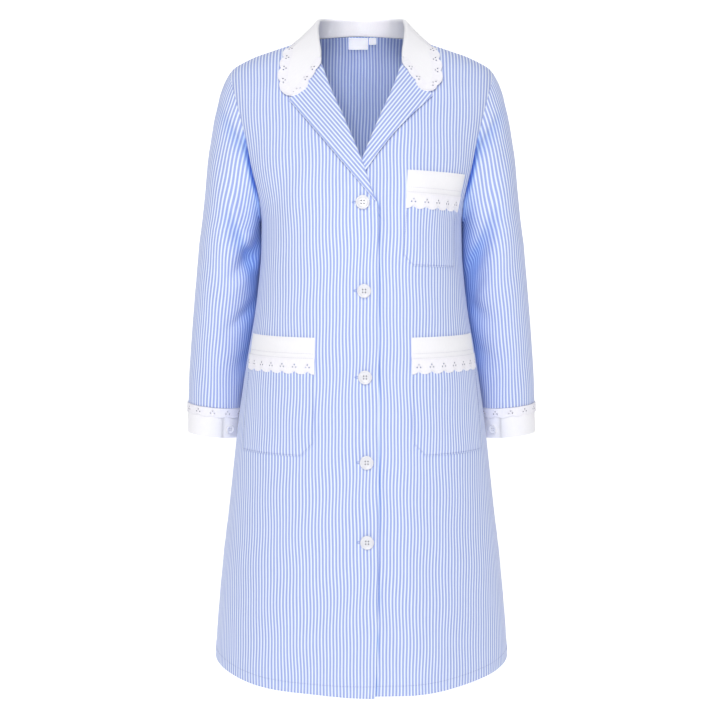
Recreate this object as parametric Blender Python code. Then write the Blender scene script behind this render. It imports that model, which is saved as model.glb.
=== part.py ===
# Housekeeping tunic: a buttoned coat dress with long sleeves, a lace-edged collar,
# striped lapels, three patch pockets with white bands, and white cuffs.
# Metres, +Z up. The wearer faces -Y and the wearer's left is +X.
# The origin is midway between the shoulders, close to the level of the neck points.
import math
from collections import namedtuple

import bmesh
import bpy
from mathutils import Matrix, Vector

# Cloth walls and the clearances between pieces
CLOTH = 0.0015
CUFF_CLOTH = 0.002
LACE_CLOTH = 0.001
LABEL_CLOTH = 0.001
SEAM_GAP = 0.0003
LAY_GAP = 0.0010

# How finely the walls are divided
FRONT_COLUMNS = 12
BACK_COLUMNS = 20
CURVE_STEPS = 80

# Body
SHOULDER_X = 0.189
SHOULDER_HEIGHT = -0.0455
NECK_X = 0.072
NECK_HEIGHT = 0.004
NECK_RISE_BEHIND = 0.010
ARMPIT_HEIGHT = -0.262
HEM_HEIGHT = -0.924
HEM_SIDE_RISE = 0.015
TOP_FRONT_DROP = 0.0025

# Lapels, as distances out from the centre on the wearer's own side
ROLL_TOP_HEIGHT = -0.043
ROLL_END_HEIGHT = -0.230
RIGHT_LAPEL_TIP = (0.1010, -0.0947)
LEFT_LAPEL_TIP = (0.0995, -0.0880)
RIGHT_LAPEL_BOW = 0.0
LEFT_LAPEL_BOW = 0.009
RIGHT_LAPEL_LENGTH = 0.97
LEFT_LAPEL_LENGTH = 0.85
LAPEL_ROWS = 10
LAPEL_COLUMNS = 3
LAPEL_LIFT_AT_COLLAR = 0.0008
LAPEL_LIFT_AT_MIDDLE = 0.0020

# Collar
COLLAR_ROLL = 0.0035
COLLAR_ROLL_STEPS = 4
COLLAR_FALL_STEPS = 4
COLLAR_LACE = 0.012
NOTCH_LACE = 0.009
LACE_LAP = 0.003
COLLAR_SCALLOPS = 34

# Lace
SCALLOP_DEPTH = 0.0042
SCALLOP_STEPS = 4
POCKET_SCALLOP = 0.0195

# Sleeves and cuffs
SLEEVE_START = (0.64, 0.0, -0.77)
CUFF_TOP = -0.5385
CUFF_BOTTOM = -0.584
CUFF_LACE = 0.017
CUFF_SCALLOPS = 12
CUFF_TILT = 0.10
CUFF_BUTTON_PLACE = (0.64, 0.014)

# Buttons
BUTTON_DIAMETER = 0.0195
BUTTON_HEIGHT = 0.0030
BUTTON_HOLE = 0.0021
BUTTON_HOLE_SPREAD = 0.0019
CUFF_BUTTON_DIAMETER = 0.0135
BUTTON_GAP = 0.0007
BUTTON_SIDES = 14
HOLE_SIDES = 6

# Labels at the back of the neck
LABEL_LEFT = -0.0195
LABEL_WIDTH = 0.0290
LABEL_TOP = 0.0120
LABEL_DROP = 0.0160
TAB_LEFT = 0.0112
TAB_WIDTH = 0.0108
TAB_DROP = 0.0092

# Level sections of the body: half width, depth in front of and behind the side seams,
# and how square each half is (2 is an ellipse). Above the armpit the half width is
# where the shoulder seam crosses that height.
Section = namedtuple("Section", "height half_width front back front_square back_square")
BODY = (
    Section(0.0140, 0.056, 0.034, 0.0660, 2.6, 2.4),
    Section(0.0040, 0.072, 0.040, 0.0720, 2.6, 2.4),
    Section(-0.0075, 0.101, 0.050, 0.0780, 2.6, 2.4),
    Section(-0.0165, 0.128, 0.056, 0.0825, 2.6, 2.4),
    Section(-0.0280, 0.160, 0.063, 0.0870, 2.6, 2.5),
    Section(-0.0455, 0.189, 0.073, 0.0925, 2.6, 2.5),
    Section(-0.0600, 0.1955, 0.081, 0.0960, 2.6, 2.5),
    Section(-0.0750, 0.1962, 0.090, 0.0990, 2.6, 2.5),
    Section(-0.0940, 0.1937, 0.099, 0.1030, 2.6, 2.5),
    Section(-0.1180, 0.1872, 0.111, 0.1070, 2.6, 2.5),
    Section(-0.1440, 0.1812, 0.1235, 0.1100, 2.5, 2.5),
    Section(-0.1700, 0.1740, 0.1335, 0.1120, 2.45, 2.4),
    Section(-0.1950, 0.1663, 0.141, 0.1125, 2.4, 2.4),
    Section(-0.2180, 0.1583, 0.1465, 0.1120, 2.35, 2.35),
    Section(-0.2400, 0.1510, 0.149, 0.1110, 2.3, 2.3),
    Section(-0.2620, 0.1465, 0.150, 0.1095, 2.3, 2.3),
    Section(-0.3040, 0.1472, 0.148, 0.1060, 2.3, 2.3),
    Section(-0.3500, 0.1510, 0.143, 0.1020, 2.3, 2.3),
    Section(-0.4000, 0.1575, 0.139, 0.1000, 2.3, 2.3),
    Section(-0.4500, 0.1665, 0.141, 0.1060, 2.3, 2.3),
    Section(-0.5000, 0.1745, 0.145, 0.1160, 2.35, 2.35),
    Section(-0.5600, 0.1830, 0.150, 0.1260, 2.35, 2.35),
    Section(-0.6200, 0.1900, 0.154, 0.1340, 2.3, 2.3),
    Section(-0.7000, 0.1990, 0.159, 0.1420, 2.25, 2.25),
    Section(-0.7700, 0.2075, 0.163, 0.1480, 2.2, 2.2),
    Section(-0.8500, 0.2150, 0.168, 0.1540, 2.15, 2.15),
    Section(-0.9400, 0.2220, 0.173, 0.1600, 2.1, 2.1),
)

# Where each armhole seam runs, seen from the front
Armhole = namedtuple("Armhole", "height front_x back_x")
ARMHOLE = (
    Armhole(-0.0455, 0.1890, 0.1890),
    Armhole(-0.0620, 0.1868, 0.1875),
    Armhole(-0.0820, 0.1812, 0.1835),
    Armhole(-0.1180, 0.1716, 0.1745),
    Armhole(-0.1440, 0.1650, 0.1680),
    Armhole(-0.1700, 0.1595, 0.1610),
    Armhole(-0.1950, 0.1545, 0.1545),
    Armhole(-0.2180, 0.1490, 0.1490),
    Armhole(-0.2400, 0.1455, 0.1455),
    Armhole(-0.2540, 0.1455, 0.1455),
    Armhole(-0.2620, 0.1465, 0.1465),
)

# The inner edge of each front: neck seam, roll line of the lapel, then front edge
InnerEdge = namedtuple("InnerEdge", "height x")
INNER_EDGE = (
    InnerEdge(0.0040, 0.0720),
    InnerEdge(-0.0060, 0.0695),
    InnerEdge(-0.0160, 0.0665),
    InnerEdge(-0.0280, 0.0625),
    InnerEdge(-0.0430, 0.0573),
    InnerEdge(-0.0790, 0.0439),
    InnerEdge(-0.1234, 0.0243),
    InnerEdge(-0.1862, -0.0011),
    InnerEdge(-0.2300, -0.0234),
    InnerEdge(-0.7280, -0.0236),
    InnerEdge(-0.9400, -0.0187),
)

# The shoulder seam, seen from the front
Shoulder = namedtuple("Shoulder", "x height")
SHOULDER = (
    Shoulder(0.0720, 0.0040),
    Shoulder(0.1010, -0.0075),
    Shoulder(0.1280, -0.0165),
    Shoulder(0.1440, -0.0220),
    Shoulder(0.1600, -0.0280),
    Shoulder(0.1760, -0.0360),
    Shoulder(0.1890, -0.0455),
)

# Rows of the panels from the shoulder to the armpit: height at the front's inner edge,
# at the centre of the back and at the armhole, and how much of the shoulder's own
# curve the row keeps
YokeRow = namedtuple("YokeRow", "inner centre_back armhole shoulder_share")
YOKE_ROWS = (
    YokeRow(0.004, 0.014, -0.0455, 1.0),
    YokeRow(0.001, 0.009, -0.0530, 0.97),
    YokeRow(-0.007, -0.001, -0.0660, 0.9),
    YokeRow(-0.018, -0.014, -0.0840, 0.8),
    YokeRow(-0.034, -0.032, -0.1040, 0.65),
    YokeRow(-0.056, -0.055, -0.1240, 0.5),
    YokeRow(-0.084, -0.083, -0.1440, 0.35),
    YokeRow(-0.117, -0.115, -0.1650, 0.2),
    YokeRow(-0.150, -0.148, -0.1860, 0.1),
    YokeRow(-0.181, -0.180, -0.2070, 0.04),
    YokeRow(-0.209, -0.208, -0.2270, 0.0),
    YokeRow(-0.233, -0.233, -0.2450, 0.0),
    YokeRow(-0.262, -0.262, -0.2620, 0.0),
)
LOWER_ROWS = (-0.300, -0.340, -0.380, -0.420, -0.465, -0.510, -0.560, -0.610,
              -0.670, -0.730, -0.790, -0.850, -0.895)

# How far the under front sits inside the top one along the centre
LapDepth = namedtuple("LapDepth", "height depth")
LAP_DEPTH = (
    LapDepth(0.010, 0.0),
    LapDepth(-0.100, 0.0),
    LapDepth(-0.165, 0.0058),
    LapDepth(-0.250, 0.0058),
    LapDepth(-0.320, 0.0026),
    LapDepth(-0.940, 0.0026),
)
LAP_FULL_X = 0.030
LAP_END_X = 0.072

# Soft flutes of the skirt: place across the half width, width, depth at the hem,
# and the height where each one starts
Flute = namedtuple("Flute", "facing place width depth start")
FLUTES = (
    Flute(-1, -0.70, 0.045, 0.0045, -0.52),
    Flute(-1, -0.34, 0.050, -0.0035, -0.60),
    Flute(-1, 0.42, 0.045, 0.0040, -0.58),
    Flute(-1, 0.74, 0.040, -0.0035, -0.50),
    Flute(1, -0.62, 0.045, 0.0060, -0.50),
    Flute(1, -0.22, 0.050, -0.0050, -0.56),
    Flute(1, 0.18, 0.045, 0.0055, -0.60),
    Flute(1, 0.58, 0.050, -0.0050, -0.52),
)

# Level sections of the sleeve and cuff on the wearer's left
ArmSection = namedtuple("ArmSection", "height x y half_width half_depth")
ARM = (
    ArmSection(-0.2750, 0.1943, 0.0085, 0.0425, 0.0600),
    ArmSection(-0.3000, 0.1964, 0.0120, 0.0443, 0.0580),
    ArmSection(-0.3500, 0.2015, 0.0180, 0.0445, 0.0550),
    ArmSection(-0.4000, 0.2075, 0.0260, 0.0440, 0.0530),
    ArmSection(-0.4500, 0.2138, 0.0340, 0.0427, 0.0510),
    ArmSection(-0.5000, 0.2188, 0.0420, 0.0422, 0.0495),
    ArmSection(-0.5385, 0.2215, 0.0470, 0.0415, 0.0480),
    ArmSection(-0.5900, 0.2245, 0.0520, 0.0405, 0.0465),
)
SLEEVE_CAP_STEPS = (0.0, 0.08, 0.20, 0.36, 0.56, 0.78, 1.0)
SLEEVE_ROWS = (-0.300, -0.325, -0.350, -0.375, -0.405, -0.440, -0.475, -0.508, -0.538)

# Broad creases of the sleeve: height, angle from the outer side towards the front,
# half length round the arm, half width, depth and slant
ArmCrease = namedtuple("ArmCrease", "height angle length width depth slant")
ARM_CREASES = (
    ArmCrease(-0.300, 2.20, 0.030, 0.014, 0.0035, 0.6),
    ArmCrease(-0.345, 2.35, 0.035, 0.015, 0.0040, 0.4),
    ArmCrease(-0.400, 1.90, 0.030, 0.016, 0.0025, -0.4),
    ArmCrease(-0.360, 4.10, 0.035, 0.016, 0.0035, 0.5),
    ArmCrease(-0.455, 2.40, 0.030, 0.016, 0.0025, 0.3),
)

# Collar sections from the centre back to the front end: height of the neck seam on
# the front (None behind the shoulder), share of the back neck, the top of the roll,
# and the outer edge of the lace with its lift off the cloth below
CollarSection = namedtuple(
    "CollarSection", "share seam_height roll_x roll_y roll_z edge_x edge_z edge_on lift")
COLLAR = (
    CollarSection(0.00, None, 0.0000, 0.0605, 0.0397, 0.0000, -0.0120, "back", 0.0045),
    CollarSection(0.28, None, 0.0295, 0.0545, 0.0394, 0.0350, -0.0120, "back", 0.0045),
    CollarSection(0.55, None, 0.0500, 0.0370, 0.0367, 0.0650, -0.0110, "back", 0.0045),
    CollarSection(0.78, None, 0.0595, 0.0160, 0.0320, 0.0835, -0.0095, "back", 0.0050),
    CollarSection(1.00, 0.0040, 0.0618, -0.0020, 0.0262, 0.0925, -0.0040, "seam", 0.0),
    CollarSection(1.00, 0.0005, 0.0625, -0.0200, 0.0160, 0.0955, -0.0140, "front", 0.0050),
    CollarSection(1.00, -0.0065, 0.0625, -0.0360, 0.0040, 0.1010, -0.0270, "front", 0.0050),
    CollarSection(1.00, -0.0165, 0.0615, -0.0490, -0.0080, 0.1095, -0.0390, "front", 0.0050),
    CollarSection(1.00, -0.0245, 0.0605, -0.0580, -0.0180, 0.1140, -0.0550, "front", 0.0050),
    CollarSection(1.00, -0.0315, 0.0596, -0.0645, -0.0260, 0.1130, -0.0720, "front", 0.0050),
    CollarSection(1.00, -0.0365, 0.0589, -0.0690, -0.0315, 0.1005, -0.0860, "front", 0.0050),
)

# Patch pockets: side of the body, inner edge, top and bottom of the pocket, width
# along the cloth, height of the white band, drop of the lace and cut-off corner
Pocket = namedtuple("Pocket", "name side top_x bottom_x top bottom width band lace corner")
POCKETS = (
    Pocket("pocket_chest", 1, 0.0634, 0.0565, -0.1925, -0.3235, 0.098, 0.0320, 0.0205, 0.015),
    Pocket("pocket_right", -1, 0.0644, 0.0669, -0.4240, -0.5895, 0.130, 0.0310, 0.0205, 0.018),
    Pocket("pocket_left", 1, 0.0687, 0.0711, -0.4240, -0.5895, 0.130, 0.0310, 0.0205, 0.018),
)

# Front buttons, down the centre
ButtonPlace = namedtuple("ButtonPlace", "x height")
BUTTONS = (
    ButtonPlace(0.0014, -0.2369),
    ButtonPlace(0.0034, -0.3582),
    ButtonPlace(0.0048, -0.4785),
    ButtonPlace(0.0069, -0.5964),
    ButtonPlace(0.0076, -0.7074),
)

# Finishes: base colour, roughness and metallic
Finish = namedtuple("Finish", "colour roughness metallic")
FINISHES = {
    "striped_poplin": Finish((0.50, 0.62, 0.92, 1.0), 0.75, 0.0),
    "white_poplin": Finish((0.90, 0.89, 0.95, 1.0), 0.75, 0.0),
    "white_lace": Finish((0.94, 0.93, 0.97, 1.0), 0.85, 0.0),
    "white_button": Finish((0.88, 0.88, 0.93, 1.0), 0.35, 0.0),
    "label_tape": Finish((0.93, 0.93, 0.96, 1.0), 0.6, 0.0),
}


# Reading the tables

def read(table, key, column, place):
    """Value of a column at a place, on a smooth curve that never overshoots its rows."""
    rows = sorted(table, key=lambda row: getattr(row, key))
    keys = [getattr(row, key) for row in rows]
    values = [getattr(row, column) for row in rows]
    if place <= keys[0]:
        return values[0]
    if place >= keys[-1]:
        return values[-1]
    steps = [(values[i + 1] - values[i]) / (keys[i + 1] - keys[i]) for i in range(len(keys) - 1)]
    slopes = [steps[0]]
    for before, after in zip(steps, steps[1:]):
        same_way = before * after > 0
        slopes.append(2 * before * after / (before + after) if same_way else 0.0)
    slopes.append(steps[-1])
    i = next(i for i in range(len(keys) - 1) if place <= keys[i + 1])
    span = keys[i + 1] - keys[i]
    t = (place - keys[i]) / span
    return (values[i] * (1 + 2 * t) * (1 - t) ** 2 + slopes[i] * span * t * (1 - t) ** 2
            + values[i + 1] * t * t * (3 - 2 * t) - slopes[i + 1] * span * t * t * (1 - t))


def blend(a, b, share):
    return a + (b - a) * share


def ease(share):
    share = min(max(share, 0.0), 1.0)
    return share * share * (3 - 2 * share)


def spread(points, count):
    """The same line with count equal lengths."""
    travelled = [0.0]
    for a, b in zip(points, points[1:]):
        travelled.append(travelled[-1] + (b - a).length)
    out = []
    i = 0
    for k in range(count + 1):
        goal = travelled[-1] * k / count
        while i < len(points) - 2 and travelled[i + 1] < goal:
            i += 1
        step = travelled[i + 1] - travelled[i]
        out.append(points[i].lerp(points[i + 1], (goal - travelled[i]) / step))
    return out


def smooth_line(points, steps):
    """A rounded line through the points."""
    out = []
    last = len(points) - 1
    for i in range(last):
        p0, p1, p2, p3 = (points[max(i - 1, 0)], points[i], points[i + 1],
                          points[min(i + 2, last)])
        for k in range(steps):
            t = k / steps
            out.append(0.5 * (2 * p1 + (p2 - p0) * t + (2 * p0 - 5 * p1 + 4 * p2 - p3) * t ** 2
                              + (3 * p1 - p0 - 3 * p2 + p3) * t ** 3))
    out.append(points[last])
    return out


# The body's outer surface

def flute_depth(x, height, facing):
    half = read(BODY, "height", "half_width", height)
    depth = 0.0
    for flute in FLUTES:
        if flute.facing == facing and height < flute.start:
            grown = ease((flute.start - height) / (flute.start - HEM_HEIGHT))
            away = (x - flute.place * half) / flute.width
            depth += flute.depth * grown * math.exp(-away * away)
    at_side = min(abs(x) / half, 1.0)
    return depth * (1 - at_side ** 6)


def body_point(x, height, facing):
    """The point of the front (-1) or back (+1) seen at x and height."""
    half = read(BODY, "height", "half_width", height)
    name = "front" if facing < 0 else "back"
    depth = read(BODY, "height", name, height)
    square = read(BODY, "height", name + "_square", height)
    share = min(abs(x) / half, 1.0)
    y = facing * (depth * (1 - share ** square) ** (1 / square) + flute_depth(x, height, facing))
    return Vector((x, y, height))


def lap_inset(x, height):
    depth = read(LAP_DEPTH, "height", "depth", height)
    return depth * (1 - ease((x - LAP_FULL_X) / (LAP_END_X - LAP_FULL_X)))


def shoulder_bulge(share):
    """How far the shoulder seam stands above a straight line between its ends."""
    x = blend(NECK_X, SHOULDER_X, share)
    return read(SHOULDER, "x", "height", x) - blend(NECK_HEIGHT, SHOULDER_HEIGHT, share)


def hem_height(x, side_drop):
    half = BODY[-1].half_width
    return HEM_HEIGHT - side_drop + HEM_SIDE_RISE * min(abs(x) / half, 1.0) ** 3


def front_rows(side):
    """Grid of one front's outer surface, in its own side's x, from the shoulder down."""
    rows = []
    for row in YOKE_ROWS:
        inner_x = read(INNER_EDGE, "height", "x", row.inner)
        outer_x = read(ARMHOLE, "height", "front_x", row.armhole)
        line = []
        for k in range(CURVE_STEPS + 1):
            s = math.sin(math.pi / 2 * k / CURVE_STEPS)
            x = blend(inner_x, outer_x, s)
            height = blend(row.inner, row.armhole, s) + row.shoulder_share * shoulder_bulge(s)
            point = body_point(side * x, height, -1)
            point.x = x
            if row.shoulder_share == 1.0:
                point.y = -SEAM_GAP / 2
            line.append(point)
        rows.append(line)
    for height in LOWER_ROWS + (HEM_HEIGHT,):
        inner_x = read(INNER_EDGE, "height", "x", height)
        outer_x = read(BODY, "height", "half_width", height)
        line = []
        for k in range(CURVE_STEPS + 1):
            x = blend(inner_x, outer_x, math.sin(math.pi / 2 * k / CURVE_STEPS))
            level = height
            if height == HEM_HEIGHT:
                drop = TOP_FRONT_DROP * (1 - ease((x - inner_x) / 0.1)) if side < 0 else 0.0
                level = hem_height(x, drop)
            point = body_point(side * x, level, -1)
            point.x = x
            line.append(point)
        rows.append(line)
    if side > 0:
        for line in rows[1:]:
            for point in line:
                point.y += lap_inset(point.x, point.z)
    grid = [spread(line, FRONT_COLUMNS) for line in rows]
    for line in grid[len(YOKE_ROWS) - 1:]:
        line[-1].y = -SEAM_GAP / 2
    return grid


def back_rows():
    """Grid of the back's outer surface, from the neck and shoulders down."""
    neck_share = NECK_X / SHOULDER_X
    rows = []
    for row in YOKE_ROWS:
        outer_x = read(ARMHOLE, "height", "back_x", row.armhole)
        line = []
        for k in range(CURVE_STEPS + 1):
            s = math.sin(math.pi / 2 * k / CURVE_STEPS)
            if s < neck_share:
                top = NECK_HEIGHT + NECK_RISE_BEHIND * (1 - (s / neck_share) ** 2)
            else:
                top = read(SHOULDER, "x", "height", s * SHOULDER_X)
            straight = blend(YOKE_ROWS[0].centre_back, SHOULDER_HEIGHT, s)
            height = blend(row.centre_back, row.armhole, s) + row.shoulder_share * (top - straight)
            point = body_point(s * outer_x, height, 1)
            if row.shoulder_share == 1.0 and s >= neck_share:
                point.y = SEAM_GAP / 2
            line.append(point)
        rows.append(line)
    for height in LOWER_ROWS + (HEM_HEIGHT,):
        outer_x = read(BODY, "height", "half_width", height)
        line = []
        for k in range(CURVE_STEPS + 1):
            x = outer_x * math.sin(math.pi / 2 * k / CURVE_STEPS)
            level = hem_height(x, 0.0) if height == HEM_HEIGHT else height
            line.append(body_point(x, level, 1))
        rows.append(line)
    half = BACK_COLUMNS // 2
    grid = []
    for number, line in enumerate(rows):
        left = spread(line, half)
        if number >= len(YOKE_ROWS) - 1:
            left[-1].y = SEAM_GAP / 2
        right = [flip_x(point) for point in left[:0:-1]]
        if number >= len(YOKE_ROWS):
            right = [body_point(point.x, point.z, 1) for point in right]
            right[0].y = SEAM_GAP / 2
        grid.append(right + left)
    return grid


def flip_x(point):
    return Vector((-point.x, point.y, point.z))


# Building solids from grids

def grid_normals(grid, wrap=False, flip=False):
    normals = []
    last_row = len(grid) - 1
    for r, line in enumerate(grid):
        out = []
        count = len(line)
        for c in range(count):
            down = grid[min(r + 1, last_row)][c] - grid[max(r - 1, 0)][c]
            if wrap:
                across = line[(c + 1) % count] - line[c - 1]
            else:
                across = line[min(c + 1, count - 1)] - line[max(c - 1, 0)]
            normal = across.cross(down) if flip else down.cross(across)
            out.append(normal.normalized())
        normals.append(out)
    return normals


def shifted(grid, normals, distance):
    """The grid moved along its normals; distance is a number or a function of row, column."""
    moved = []
    for r, line in enumerate(grid):
        moved.append([point + normals[r][c] * (distance(r, c) if callable(distance) else distance)
                      for c, point in enumerate(line)])
    return moved


def solid(name, outer, inner, finish, wrap=False, mirror=False):
    """A closed wall between two grids of the same size."""
    rows, columns = len(outer), len(outer[0])
    points = [point for grid in (outer, inner) for line in grid for point in line]
    if mirror:
        points = [flip_x(point) for point in points]

    def index(layer, r, c):
        return layer * rows * columns + r * columns + c % columns

    faces = []
    spans = columns if wrap else columns - 1
    for r in range(rows - 1):
        for c in range(spans):
            faces.append([index(0, r, c), index(0, r + 1, c), index(0, r + 1, c + 1),
                          index(0, r, c + 1)])
            faces.append([index(1, r, c), index(1, r, c + 1), index(1, r + 1, c + 1),
                          index(1, r + 1, c)])
    for c in range(spans):
        faces.append([index(0, 0, c), index(0, 0, c + 1), index(1, 0, c + 1), index(1, 0, c)])
        faces.append([index(1, rows - 1, c), index(1, rows - 1, c + 1),
                      index(0, rows - 1, c + 1), index(0, rows - 1, c)])
    if not wrap:
        end = columns - 1
        for r in range(rows - 1):
            faces.append([index(1, r, 0), index(1, r + 1, 0), index(0, r + 1, 0), index(0, r, 0)])
            faces.append([index(0, r, end), index(0, r + 1, end), index(1, r + 1, end),
                          index(1, r, end)])
    return add_object(name, points, faces, finish)


def add_object(name, points, faces, finish):
    mesh = bpy.data.meshes.new(name)
    mesh.from_pydata([tuple(point) for point in points], [], faces)
    body = bmesh.new()
    body.from_mesh(mesh)
    if body.calc_volume(signed=True) < 0:
        bmesh.ops.reverse_faces(body, faces=body.faces)
    body.to_mesh(mesh)
    body.free()
    mesh.shade_smooth()
    mesh.set_sharp_from_angle(angle=math.radians(40))
    mesh.materials.append(finish_material(finish))
    thing = bpy.data.objects.new(name, mesh)
    bpy.context.scene.collection.objects.link(thing)
    return thing


def finish_material(name):
    if name in bpy.data.materials:
        return bpy.data.materials[name]
    material = bpy.data.materials.new(name)
    material.use_nodes = True
    shader = material.node_tree.nodes["Principled BSDF"]
    shader.inputs["Base Color"].default_value = FINISHES[name].colour
    shader.inputs["Roughness"].default_value = FINISHES[name].roughness
    shader.inputs["Metallic"].default_value = FINISHES[name].metallic
    material.diffuse_color = FINISHES[name].colour
    return material


# Panels

def level_at_seams(normals, side_column, first_row):
    """Turn the edges' normals square to the shoulder and side seams."""
    for line in normals[first_row:]:
        line[side_column].y = 0.0
        line[side_column].normalize()


def make_front(name, grid, mirror):
    normals = grid_normals(grid)
    for normal in normals[0]:
        normal.y = 0.0
        normal.normalize()
    level_at_seams(normals, -1, len(YOKE_ROWS) - 1)
    inner = shifted(grid, normals, -CLOTH)
    solid(name, grid, inner, "striped_poplin", mirror=mirror)
    return normals


def make_back(grid):
    normals = grid_normals(grid, flip=True)
    for point, normal in zip(grid[0], normals[0]):
        if abs(point.x) >= NECK_X - 0.001:
            normal.y = 0.0
            normal.normalize()
    level_at_seams(normals, -1, len(YOKE_ROWS) - 1)
    level_at_seams(normals, 0, len(YOKE_ROWS) - 1)
    inner = shifted(grid, normals, -CLOTH)
    solid("back", grid, inner, "striped_poplin")
    return normals


# Places on a panel's grid, as a row and a column that may lie between the lines

def grid_at(grid, row, column):
    r = min(int(row), len(grid) - 2)
    c = min(int(column), len(grid[0]) - 2)
    upper = grid[r][c].lerp(grid[r][c + 1], column - c)
    lower = grid[r + 1][c].lerp(grid[r + 1][c + 1], column - c)
    return upper.lerp(lower, row - r)


def bisect(low, high, too_low):
    for _ in range(40):
        middle = (low + high) / 2
        if too_low(middle):
            low = middle
        else:
            high = middle
    return (low + high) / 2


def row_at(grid, column, height):
    return bisect(0, len(grid) - 1, lambda row: grid_at(grid, row, column).z > height)


def place_at(grid, x, height):
    """Row and column of the point seen at x and height."""
    column = (len(grid[0]) - 1) / 2
    for _ in range(12):
        row = row_at(grid, column, height)
        column = bisect(0, len(grid[0]) - 1, lambda c: grid_at(grid, row, c).x < x)
    return row, column


def column_along(grid, height, start, distance):
    """Column reached by walking a distance along the cloth at one height."""
    step = 0.05
    column = start
    point = grid_at(grid, row_at(grid, column, height), column)
    walked = 0.0
    while walked < distance and column < len(grid[0]) - 1 - step:
        column += step
        ahead = grid_at(grid, row_at(grid, column, height), column)
        walked += (ahead - point).length
        point = ahead
    return column


def lines_between(first, last):
    """The whole lines well inside two places."""
    return list(range(math.ceil(first + 0.2), math.floor(last - 0.2) + 1))


def squeeze(lines, first, last):
    """First, the lines kept in order between the ends, and last."""
    room = 0.07
    inside = [min(max(line, first + room * (i + 1)), last - room * (len(lines) - i))
              for i, line in enumerate(lines)]
    return [first] + inside + [last]


# Lapels

def lapel_grid(front, side):
    tip = RIGHT_LAPEL_TIP if side < 0 else LEFT_LAPEL_TIP
    bow = RIGHT_LAPEL_BOW if side < 0 else LEFT_LAPEL_BOW
    length = RIGHT_LAPEL_LENGTH if side < 0 else LEFT_LAPEL_LENGTH
    end_x = read(INNER_EDGE, "height", "x", ROLL_END_HEIGHT)
    grid = []
    for r in range(LAPEL_ROWS + 1):
        f = length * r / LAPEL_ROWS
        height = blend(ROLL_TOP_HEIGHT, ROLL_END_HEIGHT, f)
        roll_x = read(INNER_EDGE, "height", "x", height)
        curve = bow * math.sin(math.pi * f)
        edge_x = blend(tip[0], end_x, f) - curve * 0.75
        edge_height = blend(tip[1], ROLL_END_HEIGHT, f) + curve * 0.66
        line = []
        for c in range(LAPEL_COLUMNS + 1):
            s = c / LAPEL_COLUMNS
            row, column = place_at(front, blend(roll_x, edge_x, s), blend(height, edge_height, s))
            line.append(grid_at(front, row, column))
        grid.append(line)
    return grid


def make_lapel(name, front, side):
    grid = lapel_grid(front, side)
    normals = grid_normals(grid)
    length = RIGHT_LAPEL_LENGTH if side < 0 else LEFT_LAPEL_LENGTH

    def lift(r, c):
        f = length * r / LAPEL_ROWS
        rise = LAPEL_LIFT_AT_COLLAR + LAPEL_LIFT_AT_MIDDLE * math.sin(math.pi * f)
        return LAY_GAP + rise * (1 - f ** 3) * c / LAPEL_COLUMNS

    inner = shifted(grid, normals, lift)
    outer = shifted(grid, normals, lambda r, c: lift(r, c) + CLOTH)
    solid(name, outer, inner, "striped_poplin", mirror=side < 0)


# Pockets

def patch_grid(front, top, bottom, left_at, right_at, columns):
    """Points of a front between two heights and two edges, on the panel's own lines."""
    ends = [row_at(front, c, h) for h in (top, bottom) for c in (left_at(h), right_at(h))]
    rows = lines_between(min(ends[:2]), max(ends[2:]))
    grid = []
    for number in range(len(rows) + 2):
        height = blend(top, bottom, number / (len(rows) + 1))
        for _ in range(4):
            middle = (left_at(height) + right_at(height)) / 2
            first, last = row_at(front, middle, top), row_at(front, middle, bottom)
            height = grid_at(front, squeeze(rows, first, last)[number], middle).z
        line = []
        for column in squeeze(columns, left_at(height), right_at(height)):
            first, last = row_at(front, column, top), row_at(front, column, bottom)
            line.append(grid_at(front, squeeze(rows, first, last)[number], column))
        grid.append(line)
    return grid


def pocket_edges(front, pocket):
    """Functions that give the pocket's inner and outer columns at a height."""
    def inner_x(height):
        share = (pocket.top - height) / (pocket.top - pocket.bottom)
        return blend(pocket.top_x, pocket.bottom_x, share)

    def left_at(height):
        return place_at(front, inner_x(height), height)[1]

    def right_at(height):
        return column_along(front, height, left_at(height), pocket.width)

    return left_at, right_at


def make_pocket(front, pocket):
    left_at, right_at = pocket_edges(front, pocket)
    mirror = pocket.side < 0
    seam = pocket.top - pocket.band
    columns_per_metre = (right_at(seam) - left_at(seam)) / pocket.width

    def cut_left(height):
        cut = max(pocket.corner - (height - pocket.bottom), 0.0)
        return left_at(height) + cut * columns_per_metre

    corner = pocket.bottom + pocket.corner
    columns = lines_between(min(left_at(pocket.top), left_at(corner)),
                            max(right_at(pocket.top), right_at(pocket.bottom)))
    upper = patch_grid(front, seam, corner, left_at, right_at, columns)
    lower = patch_grid(front, corner, pocket.bottom, cut_left, right_at, columns)
    add_patch(pocket.name, upper + lower[1:], "striped_poplin", mirror)
    band = patch_grid(front, pocket.top, seam + SEAM_GAP, left_at, right_at, columns)
    add_patch(pocket.name + "_band", band, "white_poplin", mirror)
    make_pocket_lace(front, pocket, left_at, right_at)


def add_patch(name, grid, finish, mirror):
    normals = grid_normals(grid)
    inner = shifted(grid, normals, LAY_GAP)
    outer = shifted(grid, normals, LAY_GAP + CLOTH)
    solid(name, outer, inner, finish, mirror=mirror)


def scallop(distance, pitch):
    """Drop of a scalloped edge below its cusps."""
    return SCALLOP_DEPTH * abs(math.sin(math.pi * distance / pitch)) ** 0.8


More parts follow.
